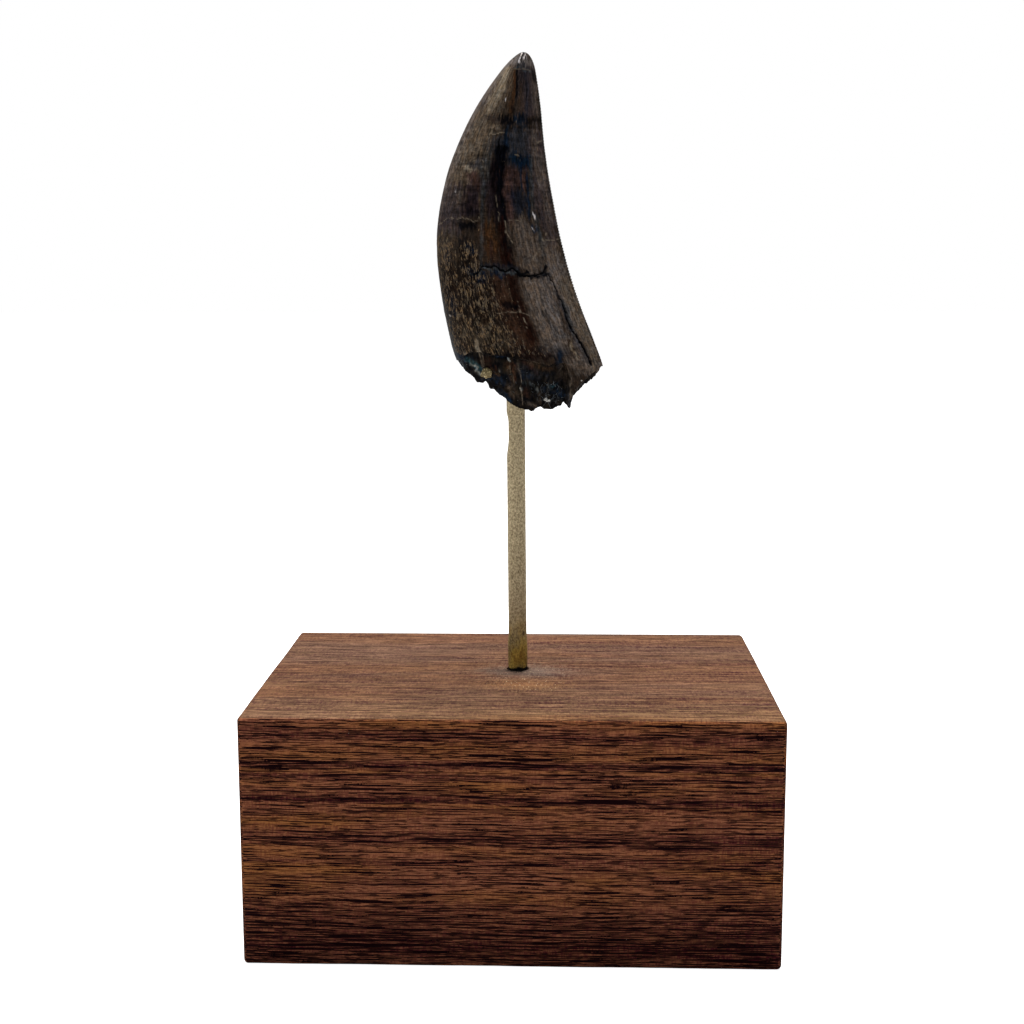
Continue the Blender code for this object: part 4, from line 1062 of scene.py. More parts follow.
def tooth_surface(settings):
    """Rows of points of the whole tooth, from the tip to the end of the bore, and what is on them."""
    u, side = tooth_columns()
    skin = skin_grid(u, side)
    x, height = skin[..., 0], skin[..., 2]
    here_u = np.broadcast_to(u, x.shape)
    front = np.broadcast_to(side, x.shape) < 0

    # ridges along the crown, narrower towards the tip, and shallow rings across it
    lengthwise = noise_field(here_u * 22, side * 3.0, height * 0.24)
    lengthwise_fine = noise_field(here_u * 58, side * 3.0 + 9, height * 0.5)
    rings = noise_field(here_u * 1.5, side * 3.0 + 5, height * 2.6)
    pits = noise_field(x * 2.6, side * 3.0 + 30, height * 0.8)

    ragged = noise_field(x * 0.9, side * 5.0, height * 0.22)
    patchy = noise_field(x * 2.0, side * 5.0 + 40, height * 0.3)
    fine = noise_field(x * 3.1, side * 5.0 + 20, height * 0.9)
    gritty = noise_field(x * 3.4, side * 5.0 + 50, height * 1.6)
    fray = 0.55 * lengthwise + 0.45 * lengthwise_fine + 0.35 * fine + 0.45 * gritty
    paint_x = x + 0.30 * ragged + 0.12 * gritty
    paint_h = height + 0.7 * patchy + 0.35 * fine
    colour = np.broadcast_to(np.array(settings.umber), (*x.shape, 3))
    colour = np.where(
        front[..., None],
        painted(colour, FRONT_PAINT, settings, paint_x, paint_h, fray),
        painted(colour, BACK_PAINT, settings, paint_x, paint_h, fray),
    )
    high = smooth_step(28.0, 36.0, height)
    clouds = noise_field(x * 1.3, side * 5.0 + 70, height * 0.95)
    banded = high * smooth_step(48.0, 44.0, height)
    tone = 1 + (0.30 + 0.14 * high) * lengthwise + 0.28 * lengthwise_fine
    tone += (0.2 + 0.28 * banded) * rings + 0.65 * banded * clouds
    colour = colour * np.maximum(tone, 0.2)[..., None]

    def either(make, in_front, behind, *place):
        return np.where(front, make(in_front, *place), make(behind, *place))

    masks = {"flecks": either(flecked, FRONT_FLECKS, BACK_FLECKS, paint_x, paint_h)}
    jitter_x = x + 0.16 * fine
    jitter_h = height + 0.22 * noise_field(x * 2.2, side * 5.0 + 60, height * 2.2)
    broken_up = smooth_step(-0.5, -0.1, noise_field(x * 2.4, side * 5.0 + 80, height * 2.4))
    broken_up = np.maximum(broken_up, smooth_step(51.5, 52.5, height))
    hairlines = either(hairline_mask, FRONT_HAIRLINES, BACK_HAIRLINES, jitter_x, jitter_h)
    masks["hairline"] = broken_up * hairlines
    front_depth, front_mask = crack_depth(FRONT_CRACKS, jitter_x, jitter_h)
    back_depth, back_mask = crack_depth(BACK_CRACKS, jitter_x, jitter_h)
    masks["crack"] = np.where(front, front_mask, back_mask)
    relief = settings.striation * (lengthwise + 0.45 * lengthwise_fine + 0.3 * rings)
    relief += 0.05 * masks["flecks"] * pits
    relief -= np.where(front, front_depth, back_depth)

    # denticles: every third row round the distal edge is a slit, darkened through the crack mask as painted
    # shadow
    row = np.arange(len(skin))[:, None]
    slit = (row % ROWS_A_DENTICLE == 0).astype(float)
    mesial, distal, _ = crown_section(height)
    reach = 1 - smooth_step(0.0, DENTICLE_REACH, (1 - here_u) * (distal - mesial) / 2)
    present = smooth_step(53.5, 51.0, height) * (0.2 + 0.8 * smooth_step(12.0, 24.0, height))
    relief += DENTICLE_RELIEF * reach**1.5 * present * (0.35 - slit)
    masks["crack"] = np.maximum(masks["crack"], 0.75 * slit * reach * present)
    relief *= smooth_step(CROWN_HEIGHT, CROWN_HEIGHT - 0.8, height)
    skin = skin + grid_normals(skin) * relief[..., None]
    carina = FRONT_COLUMNS + 4
    skin[:, carina, 0] -= DENTICLE_RELIEF * (slit[:, 0] - 0.2) * present[:, carina]

    rest = broken_grid(skin[-1], u, side)
    points = np.concatenate((skin, rest))
    under = rest.shape[:2]
    full = {name: np.concatenate((mask, np.zeros(under))) for name, mask in masks.items()}
    full["broken"] = np.concatenate((np.zeros(x.shape), np.ones(under)))
    full["broken"][len(skin) - 1] = 0.5
    paint = np.clip(np.concatenate((colour, broken_paint(rest, settings))), 0.0, 1.0)
    all_u = np.broadcast_to(u, points.shape[:2])
    all_side = np.broadcast_to(side, points.shape[:2])
    grain = np.stack((all_u * 10.0, all_side * section_profile(all_u) * 6.0, points[..., 2]), axis=-1)
    grain[len(skin):] = points[len(skin):]
    return points, full, paint, grain


def tooth_faces(rows, columns, tip, inside):
    """Quads of the grid, with a fan of triangles over each end."""
    row = np.arange(rows - 1)[:, None] * columns
    here = row + np.arange(columns)[None, :]
    right = row + (np.arange(columns)[None, :] + 1) % columns
    quads = np.stack((here, here + columns, right + columns, right), axis=-1).reshape(-1, 4)
    last = (rows - 1) * columns
    faces = quads.tolist()
    for i in range(columns):
        j = (i + 1) % columns
        faces.append((tip, i, j))
        faces.append((last + i, inside, last + j))
    return faces


def build_tooth(settings):
    points, masks, paint, grain = tooth_surface(settings)
    rows, columns = points.shape[:2]
    flat = points.reshape(-1, 3)
    top = crown_point(CROWN_HEIGHT, 0.0, 1.0)
    bore_end = np.array((BORE_X, 0.0, (ROD_IN_TOOTH + GLUE_GAP) / MM))
    verts = np.concatenate((flat, [top, bore_end])) * MM
    mesh = bpy.data.meshes.new("tooth_detailed")
    mesh.from_pydata(verts.tolist(), [], tooth_faces(rows, columns, len(flat), len(flat) + 1))
    for name, mask in masks.items():
        values = np.concatenate((mask.ravel(), (0.0, mask[-1, 0])))
        mesh.attributes.new(name, "FLOAT", "POINT").data.foreach_set("value", values)
    places = np.concatenate((grain.reshape(-1, 3), [top, bore_end]))
    mesh.attributes.new("grain", "FLOAT_VECTOR", "POINT").data.foreach_set("vector", places.ravel())
    colours = np.concatenate((paint.reshape(-1, 3), [paint[0, 0], paint[-1, 0]]))
    colours = np.concatenate((colours, np.ones((len(colours), 1))), axis=1)
    mesh.attributes.new("paint", "FLOAT_COLOR", "POINT").data.foreach_set("color", colours.ravel())
    mesh.transform(Matrix.Translation(TOOTH_SEAT))
    mesh.update()
    bm = bmesh.new()
    bm.from_mesh(mesh)
    bmesh.ops.recalc_face_normals(bm, faces=bm.faces)
    bm.to_mesh(mesh)
    bm.free()
    mesh.shade_smooth()
    tooth = link_mesh("tooth_detailed", mesh)
    mesh.materials.append(fossil_material(settings))
    keep(tooth, "fossil", "tooth")


def fossil_material(settings):
    material, tree, shader = new_material("fossil_enamel")
    place = attribute(tree, "grain", "Vector")
    ridges = fibre(tree, place, 2.4, (1, 1, 0.10), 3.0, 0.22)
    fine = fibre(tree, place, 4.4, (1, 1, 0.22), 2.0, 0.2)
    rungs = fibre(tree, place, 3.6, (0.28, 1, 1.3), 2.0, 0.2)
    grit = fibre(tree, place, 3.4, (1, 1, 0.8), 3.0, 0.2)
    mottle = fibre(tree, place, 1.6, (1, 1, 0.6), 4.0, 0.2)
    both = times_plus(tree, fine, 0.35, times(tree, ridges, 0.25))
    both = times_plus(tree, rungs, 0.2, both)
    both = times_plus(tree, grit, 0.2, both)
    depth = calc(tree, "POWER", times_plus(tree, both, 1.25, 0.38), 2.0)
    warmth = fibre(tree, place, 1.9, (1, 1, 0.5), 4.0, 0.16)
    tint = blend(tree, warmth, (0.90, 0.98, 1.10), (1.09, 1.0, 0.91))
    tint = add(tree, "ShaderNodeVectorMath", {0: tint, "Scale": depth}, operation="SCALE").outputs[0]
    colour = tinted(tree, attribute(tree, "paint", "Color"), tint)

    # worn enamel: wavy strands along the crown, with nearly black gaps and golden flecks
    strands = add(
        tree, "ShaderNodeTexNoise",
        {"Vector": vector_calc(tree, "MULTIPLY", place, (1, 1, 0.19)),
         "Scale": 5.0, "Detail": 2.0, "Roughness": 0.75, "Distortion": 0.8},
    ).outputs[0]
    worn = attribute(tree, "flecks")
    gaps = times(tree, fade(tree, strands, 0.50, 0.40), worn)
    gap_colour = blend(tree, warmth, shade(tuple(settings.ink), 0.7), shade(tuple(settings.rust), 0.22))
    colour = blend(tree, times(tree, gaps, 0.9), colour, gap_colour)
    edge = fade(tree, worn, 0.0, 1.0, 0.24, 0.0)
    edge = calc(tree, "ADD", edge, fade(tree, mottle, 0.15, 0.8, 0.11, -0.01))
    fleck_mask = fade(tree, calc(tree, "SUBTRACT", strands, edge), 0.45, 0.53)
    golden = blend(tree, warmth, shade(tuple(settings.tan), 0.85), (0.31, 0.19, 0.09))
    golden = blend(tree, grit, shade(tuple(settings.ash), 0.55), golden)
    colour = blend(tree, times(tree, fleck_mask, 0.90), colour, golden)
    hairline = times(tree, attribute(tree, "hairline"), 0.7)
    colour = blend(tree, hairline, colour, tuple(settings.pale))
    # The crack mask holds the dark inside of the open cracks and the painted shadow in the denticles' slits.
    crack = attribute(tree, "crack")
    colour = blend(tree, crack, colour, shade(tuple(settings.ink), 0.8))

    broken_place = object_place(tree)
    crumbs = fibre(tree, broken_place, 1300.0, (1, 1, 1), 4.0, 0.22)
    splinters = fibre(tree, broken_place, 2200.0, (1, 1, 0.2), 3.0, 0.2)
    broken = attribute(tree, "broken")
    rubble = times(tree, times(tree, crumbs, splinters), broken)
    colour = blend(tree, times(tree, rubble, 0.15), colour, shade(tuple(settings.tan), 0.7))
    glints = specks(tree, broken_place, 2600.0, 0.26, 0.03)
    colour = blend(tree, times(tree, glints["Mask"], broken), colour, srgb(96, 98, 98))

    gloss = fade(tree, both, 0.0, 1.0, settings.roughness - 0.06, settings.roughness + 0.12)
    gloss = times_plus(tree, fleck_mask, 0.25, gloss)
    gloss = calc(tree, "MAXIMUM", gloss, times(tree, broken, 0.45))
    feed(tree, shader, {"Base Color": colour, "Roughness": gloss, "Specular IOR Level": 0.02})

    height = times_plus(tree, fine, 0.5, times(tree, fleck_mask, -0.6))
    height = times_plus(tree, crack, -1.0, height)
    height = times_plus(tree, times(tree, crumbs, broken), 2.5, height)
    bump(tree, shader, height, 0.04 * MM)
    return material


# ---- the nodule and the crystals ----


def cast_back(surface, place):
    """Where a line going straight back from place, in the tooth's mm, meets the tooth, if it does."""
    return surface.ray_cast(TOOTH_SEAT + place * MM, Vector((0, 1, 0)))[0]


def front_point(surface, x, height):
    """The tooth's frontmost point at x and height, in metres in the CAD frame."""
    place = cast_back(surface, Vector((x, BEFORE_TOOTH, height)))
    if place is None:
        raise RuntimeError(f"nothing of the tooth lies behind x {x}, height {height}")
    return place


def rough_ball(bm, centre, radius, squash=(1, 1, 1), seed=0.0, subdivisions=3, relief=0.16):
    ball = bmesh.ops.create_icosphere(bm, subdivisions=subdivisions, radius=1.0)["verts"]
    for v in ball:
        lump = noise.noise(v.co * 2.2 + Vector((seed, 0, 0)))
        lump += 0.5 * noise.noise(v.co * 6.5 + Vector((0, seed, 0)))
        v.co = v.co * (1 + relief * lump)
        v.co = Vector((v.co.x * squash[0], v.co.y * squash[1], v.co.z * squash[2])) * radius + centre


def build_nodule(surface):
    place = front_point(surface, -4.7, 6.3)
    bm = bmesh.new()
    rough_ball(bm, place + Vector((0, -0.45, -0.05)) * MM, 0.82 * MM, (1.0, 0.8, 1.0), 3.0, 5, 0.08)
    for x, height, radius in ((-5.4, 5.95, 0.36), (-4.15, 5.75, 0.24)):
        at = front_point(surface, x, height)
        rough_ball(bm, at, radius * MM, (1.0, 0.7, 1.0), x, 4, 0.2)
    mesh = mesh_from("calcite_nodule", bm)
    mesh.shade_smooth()
    nodule = link_mesh("calcite_nodule", mesh)
    mesh.materials.append(nodule_material())
    keep(nodule, "fossil")


def nodule_material():
    material, tree, shader = new_material("calcite")
    place = object_place(tree)
    grains = specks(tree, place, 3400.0, 0.62)
    body = blend(tree, grains["Tone"], srgb(166, 146, 98), srgb(232, 214, 164))
    body = blend(tree, grains["Mask"], shade(srgb(166, 146, 98), 0.5), body)
    feed(tree, shader, {"Base Color": body, "Roughness": 0.7})
    bump(tree, shader, grains["Mask"], 0.03 * MM)
    return material


def build_crystals(surface):
    """White lumps in the broken core, and the grey needles that lie over it in all directions."""
    rng = np.random.default_rng(5)
    lumps = bmesh.new()
    for x, height, radius in ((4.5, 2.05, 0.30), (5.05, 1.85, 0.22), (4.75, 1.75, 0.16), (10.15, 4.95, 0.12)):
        at = front_point(surface, x, height)
        rough_ball(lumps, at, radius * MM, (1.0, 0.7, 1.0), x, 3, 0.3)
    needles = bmesh.new()
    spots = [(4.8, 1.9, turn, rng.uniform(0.7, 1.5)) for turn in rng.uniform(0, math.pi * 2, 14)]
    spots += [(x, height, rng.uniform(0, math.pi), rng.uniform(0.4, 1.0))
              for x, height in rng.uniform((3.4, 1.2), (7.2, 4.4), (44, 2))]
    spots += [(x, height, rng.uniform(0, math.pi), rng.uniform(0.2, 0.5))
              for x, height in rng.uniform((-4.0, 2.6), (3.2, 7.0), (20, 2))]
    for x, height, turn, reach in spots:
        way = Vector((math.cos(turn), 0, math.sin(turn))) * reach
        ends = []
        for share in (0.12, 1.0):
            at = cast_back(surface, Vector((x, BEFORE_TOOTH, height)) + way * share)
            if at is not None:
                ends.append(at + Vector((0, -0.05, 0)) * MM)
        if len(ends) < 2 or (ends[1] - ends[0]).length > 1.6 * reach * MM:
            continue
        run = ends[1] - ends[0]
        radius = rng.uniform(0.03, 0.06) * MM
        lie = Matrix.Translation((ends[0] + ends[1]) / 2) @ run.to_track_quat("Z", "Y").to_matrix().to_4x4()
        bmesh.ops.create_cone(
            needles, cap_ends=True, segments=6, radius1=radius, radius2=radius * 0.35,
            depth=run.length, matrix=lie,
        )
    for name, bm, dull, bright in (
        ("core_crystals", lumps, srgb(170, 168, 162), srgb(244, 242, 236)),
        ("core_needles", needles, srgb(14, 20, 26), srgb(92, 98, 102)),
    ):
        mesh = mesh_from(name, bm)
        piece = link_mesh(name, mesh)
        mesh.materials.append(crystal_material(name, dull, bright))
        keep(piece, "fossil")


def crystal_material(name, dull, bright):
    material, tree, shader = new_material(name)
    haze = fibre(tree, object_place(tree), 1800.0, (1, 1, 1), 2.0, 0.25)
    feed(tree, shader, {"Base Color": blend(tree, haze, dull, bright), "Roughness": 0.3})
    return material


# ---- the rod ----


def rod_x(height):
    return ROD_X - math.tan(ROD_LEAN) * (height - BLOCK_HIGH[2])


def build_rod(settings):
    """The rod as rings of points, flattened where the pliers held it, with chamfered ends."""
    bottom = BLOCK_HIGH[2] - ROD_IN_BLOCK
    top = BLOCK_HIGH[2] + ROD_FREE_LENGTH + ROD_IN_TOOTH
    heights = [bottom, bottom + ROD_END_CHAMFER]
    heights += list(np.arange(bottom + 1 * MM, top - 1 * MM, 0.3 * MM))
    heights += [top - ROD_END_CHAMFER, top]
    sides = settings.rod_sides
    verts = []
    for z in heights:
        ends = 1.0 if bottom < z < top else 1 - ROD_END_CHAMFER / ROD_RADIUS
        nip = smooth_step(NIP_LOW, NIP_LOW + NIP_LOW_RAMP, z)
        nip *= smooth_step(NIP_HIGH, NIP_HIGH - NIP_HIGH_RAMP, z)
        flat = -(ROD_RADIUS + 0.1 * MM - (NIP_DEPTH + 0.1 * MM) * nip)
        foot = FOOT_SWELL * smooth_step(FOOT_SWELL_END, FOOT_SWELL_TOP, z)
        for i in range(sides):
            turn = 2 * math.pi * i / sides
            place = Vector((math.cos(turn) * 3, math.sin(turn) * 3, z / MM))
            grit = FINE_GRIT * noise.noise(place * 1.7) + COARSE_GRIT * noise.noise(place * 0.35)
            radius = ROD_RADIUS * ends + grit - GRIT_SINK + foot
            x = max(math.cos(turn) * radius, flat)
            verts.append((rod_x(z) + x, ROD_Y + math.sin(turn) * radius, z))
    faces = []
    for row in range(len(heights) - 1):
        for i in range(sides):
            j = (i + 1) % sides
            a, b = row * sides + i, row * sides + j
            faces.append((a, b, b + sides, a + sides))
    faces.append(tuple(reversed(range(sides))))
    faces.append(tuple(range((len(heights) - 1) * sides, len(heights) * sides)))
    mesh = bpy.data.meshes.new("brass_rod_detailed")
    mesh.from_pydata(verts, [], faces)
    mesh.shade_smooth()
    mesh.set_sharp_from_angle(angle=math.radians(30))
    rod = link_mesh("brass_rod_detailed", mesh)
    mesh.materials.append(brass_material(settings))
    keep(rod, "brass", "brass_rod")


def brass_material(settings):
    material, tree, shader = new_material("blasted_brass")
    place = object_place(tree)
    grit = fibre(tree, place, 3600.0, (1, 1, 0.8), 2.0, 0.16)
    grains = specks(tree, place, 4200.0, 0.62)
    drawn = fibre(tree, place, 1500.0, (1, 1, 0.12), 2.0, 0.3)
    patches = fibre(tree, place, 420.0, (1, 1, 0.5), 3.0, 0.16)
    height = along_axis(tree, place, 2)
    speckle = times_plus(tree, grit, 0.6, times(tree, grains["Tone"], 0.4))
    metal = blend(tree, speckle, shade(tuple(settings.brass), 0.50), srgb(228, 210, 170))
    # Darker towards the block: a painted reflection of the walnut in the lower rod.
    painted_wood_reflection = fade(tree, height, BLOCK_HIGH[2] + 8 * MM, BLOCK_HIGH[2] + 32 * MM, 1.0, 0.0)
    metal = blend(tree, times(tree, painted_wood_reflection, 0.22), metal, shade(tuple(settings.brass), 0.5))
    # Tarnish towards the foot, partly a painted reflection of the walnut.
    foot = fade(tree, height, BLOCK_HIGH[2] + 2 * MM, BLOCK_HIGH[2] + 11 * MM, 1.0, 0.0)
    foot = times(tree, foot, fade(tree, patches, 0.0, 1.0, 0.8, 1.0))
    tarnish_and_reflection = tones(tree, times_plus(tree, grit, 0.35, times(tree, patches, 0.65)),
                    tuple(settings.tarnish_and_reflection), 0.12, 2.0)
    colour = blend(tree, foot, metal, tarnish_and_reflection)
    spots = specks(tree, place, 900.0, 0.34, 0.45, (1, 1, 0.7))
    rusty = fade(tree, fibre(tree, place, 700.0, (1, 1, 0.6), 3.0, 0.2), 0.55, 0.9)
    rusty = times(tree, times(tree, rusty, foot), 0.5)
    colour = blend(tree, rusty, colour, srgb(112, 76, 34))
    # The lowest half millimetre of the rod is painted nearly black: a painted shadow of the hole round its
    # foot.
    painted_foot_shadow = fade(tree, times_plus(tree, calc(tree, "SUBTRACT", patches, 0.5), 0.5 * MM, height),
                 BLOCK_HIGH[2] + 0.25 * MM, BLOCK_HIGH[2] + 0.55 * MM, 1.0, 0.0)
    colour = blend(tree, painted_foot_shadow, colour, srgb(16, 13, 12))
    low = fade(tree, height, BLOCK_HIGH[2] + 4 * MM, BLOCK_HIGH[2] + 26 * MM, 0.7, 0.12)
    colour = blend(tree, times(tree, spots["Mask"], low), colour, srgb(60, 48, 26))
    rough = times_plus(tree, foot, 0.06, fade(tree, speckle, 0.0, 1.0, 0.62, 0.48))
    feed(tree, shader, {"Base Color": colour, "Metallic": 0.75, "Roughness": rough})
    bump(tree, shader, times_plus(tree, drawn, 0.3, speckle), 0.03 * MM)
    return material


# ---- the block ----


def block_lines(low, high, step):
    """Places of the grid's lines along one side of the block, closer together at the eased edges."""
    close = np.array((0.0, 0.15, 0.35, 0.6, 0.9, 1.3)) * MM
    count = max(2, round((high - low - 2 * close[-1]) / step))
    middle = np.linspace(low + close[-1], high - close[-1], count + 1)[1:-1]
    return np.concatenate((low + close, middle, high - close[::-1]))


def eased(point, radius):
    """Moves a point of the block's box onto its rounded edges."""
    core = Vector((
        max(BLOCK_LOW[i] + radius, min(BLOCK_HIGH[i] - radius, point[i])) for i in range(3)
    ))
    out = point - core
    if out.length < 1e-9:
        return point
    return core + out.normalized() * radius


def build_block(settings):
    """A box of fine quads whose edges are eased by hand, not quite evenly, and the rod's hole."""
    xs, ys, zs = (block_lines(BLOCK_LOW[i], BLOCK_HIGH[i], 1.0 * MM) for i in range(3))
    bm = bmesh.new()
    known = {}

    def corner(x, y, z):
        key = (round(x * 1e7), round(y * 1e7), round(z * 1e7))
        if key not in known:
            point = Vector((x, y, z))
            wander = noise.noise(point * 90) * 0.16 + noise.noise(point * 420) * 0.08
            known[key] = bm.verts.new(eased(point, settings.edge_round * (1 + wander)))
        return known[key]

    def sheet(across, up, place):
        for a, b in zip(across, across[1:]):
            for c, d in zip(up, up[1:]):
                bm.faces.new([corner(*place(*spot)) for spot in ((a, c), (b, c), (b, d), (a, d))])

    for z in (BLOCK_LOW[2], BLOCK_HIGH[2]):
        sheet(xs, ys, lambda x, y: (x, y, z))
    for y in (BLOCK_LOW[1], BLOCK_HIGH[1]):
        sheet(xs, zs, lambda x, z: (x, y, z))
    for x in (BLOCK_LOW[0], BLOCK_HIGH[0]):
        sheet(ys, zs, lambda y, z: (x, y, z))
    bmesh.ops.recalc_face_normals(bm, faces=bm.faces)
    block = link_mesh("walnut_block_detailed", mesh_from("walnut_block_detailed", bm))
    drill_hole(block)
    mesh = block.data
    mesh.shade_smooth()
    mesh.set_sharp_from_angle(angle=math.radians(38))
    mesh.materials.append(walnut_material(settings))
    keep(block, "walnut", "walnut_block")


def drill_hole(block):
    """Cuts the rod's hole, with a mouth that the drill tore a little."""
    sides = 48
    bottom = BLOCK_HIGH[2] - ROD_IN_BLOCK - GLUE_GAP
    levels = [bottom, *(BLOCK_HIGH[2] - down * MM for down in (3.0, 0.8, 0.35, 0.12, -2))]
    flares = (0.0, 0.0, 0.0, 0.02, 0.05, 0.08)
    bm = bmesh.new()
    rings = []
    for z, flare in zip(levels, flares):
        ring = []
        for i in range(sides):
            turn = 2 * math.pi * i / sides
            torn = flare * (0.6 + noise.noise(Vector((math.cos(turn) * 2.2, math.sin(turn) * 2.2, 4.0))))
            radius = ROD_RADIUS + GLUE_GAP + max(0.0, torn) * MM
            across, deep = math.cos(turn) * radius, math.sin(turn) * radius
            ring.append(bm.verts.new((rod_x(z) + across, ROD_Y + deep, z)))
        rings.append(ring)
    for low, high in zip(rings, rings[1:]):
        for i in range(sides):
            j = (i + 1) % sides
            bm.faces.new((low[i], low[j], high[j], high[i]))
    bm.faces.new(list(reversed(rings[0])))
    bm.faces.new(rings[-1])
    drill = link_mesh("drill", mesh_from("drill", bm))
    cut = block.modifiers.new("drill", "BOOLEAN")
    cut.operation = "DIFFERENCE"
    cut.object = drill
    graph = bpy.context.evaluated_depsgraph_get()
    bored = bpy.data.meshes.new_from_object(block.evaluated_get(graph))
    block.modifiers.clear()
    block.data = bored
    bpy.data.objects.remove(drill)


def ring_place(tree, place):
    """Coordinates that follow the wood: along the grain, outward over the growth rings, and round them."""
    sway = add(tree, "ShaderNodeTexNoise", {"Vector": place, "Scale": 14.0, "Detail": 2.0}).outputs[0]
    ripple = add(tree, "ShaderNodeTexNoise", {"Vector": place, "Scale": 75.0, "Detail": 2.0}).outputs[0]
    at = add(tree, "ShaderNodeSeparateXYZ", {0: place}).outputs
    deep = calc(tree, "SUBTRACT", at[1], PITH_Y)
    high = calc(tree, "SUBTRACT", at[2], PITH_Z)
    radius = calc(tree, "SQRT", times_plus(tree, deep, deep, times(tree, high, high)))
    radius = times_plus(tree, calc(tree, "SUBTRACT", sway, 0.5), 1.8 * MM, radius)
    radius = times_plus(tree, calc(tree, "SUBTRACT", ripple, 0.5), 0.32 * MM, radius)
    round_it = times(tree, calc(tree, "ARCTAN2", high, deep), 0.12)
    return radius, add(tree, "ShaderNodeCombineXYZ", {0: at[0], 1: radius, 2: round_it}).outputs[0]


def growth_tone(tree, radius):
    """How dark the growth rings are, 0 to 1, from their distance to the pith."""
    reach = (BLOCK_LOW[1] - PITH_Y) ** 2
    squared = calc(tree, "MAXIMUM", times_plus(tree, radius, radius, -reach), 0.0)
    height = calc(tree, "ADD", calc(tree, "SQRT", squared), PITH_Z)
    lowest, highest = GROWTH_RINGS[0][0] * MM, GROWTH_RINGS[-1][0] * MM
    share = calc(tree, "DIVIDE", calc(tree, "SUBTRACT", height, lowest), highest - lowest)
    ramp = add(tree, "ShaderNodeValToRGB", {0: share})
    ramp.color_ramp.interpolation = "EASE"
    elements = ramp.color_ramp.elements
    while len(elements) < len(GROWTH_RINGS):
        elements.new(1.0)
    for element, (ring, tone) in zip(elements, GROWTH_RINGS):
        element.position = (ring * MM - lowest) / (highest - lowest)
        element.color = (tone, tone, tone, 1.0)
    return ramp.outputs[0]


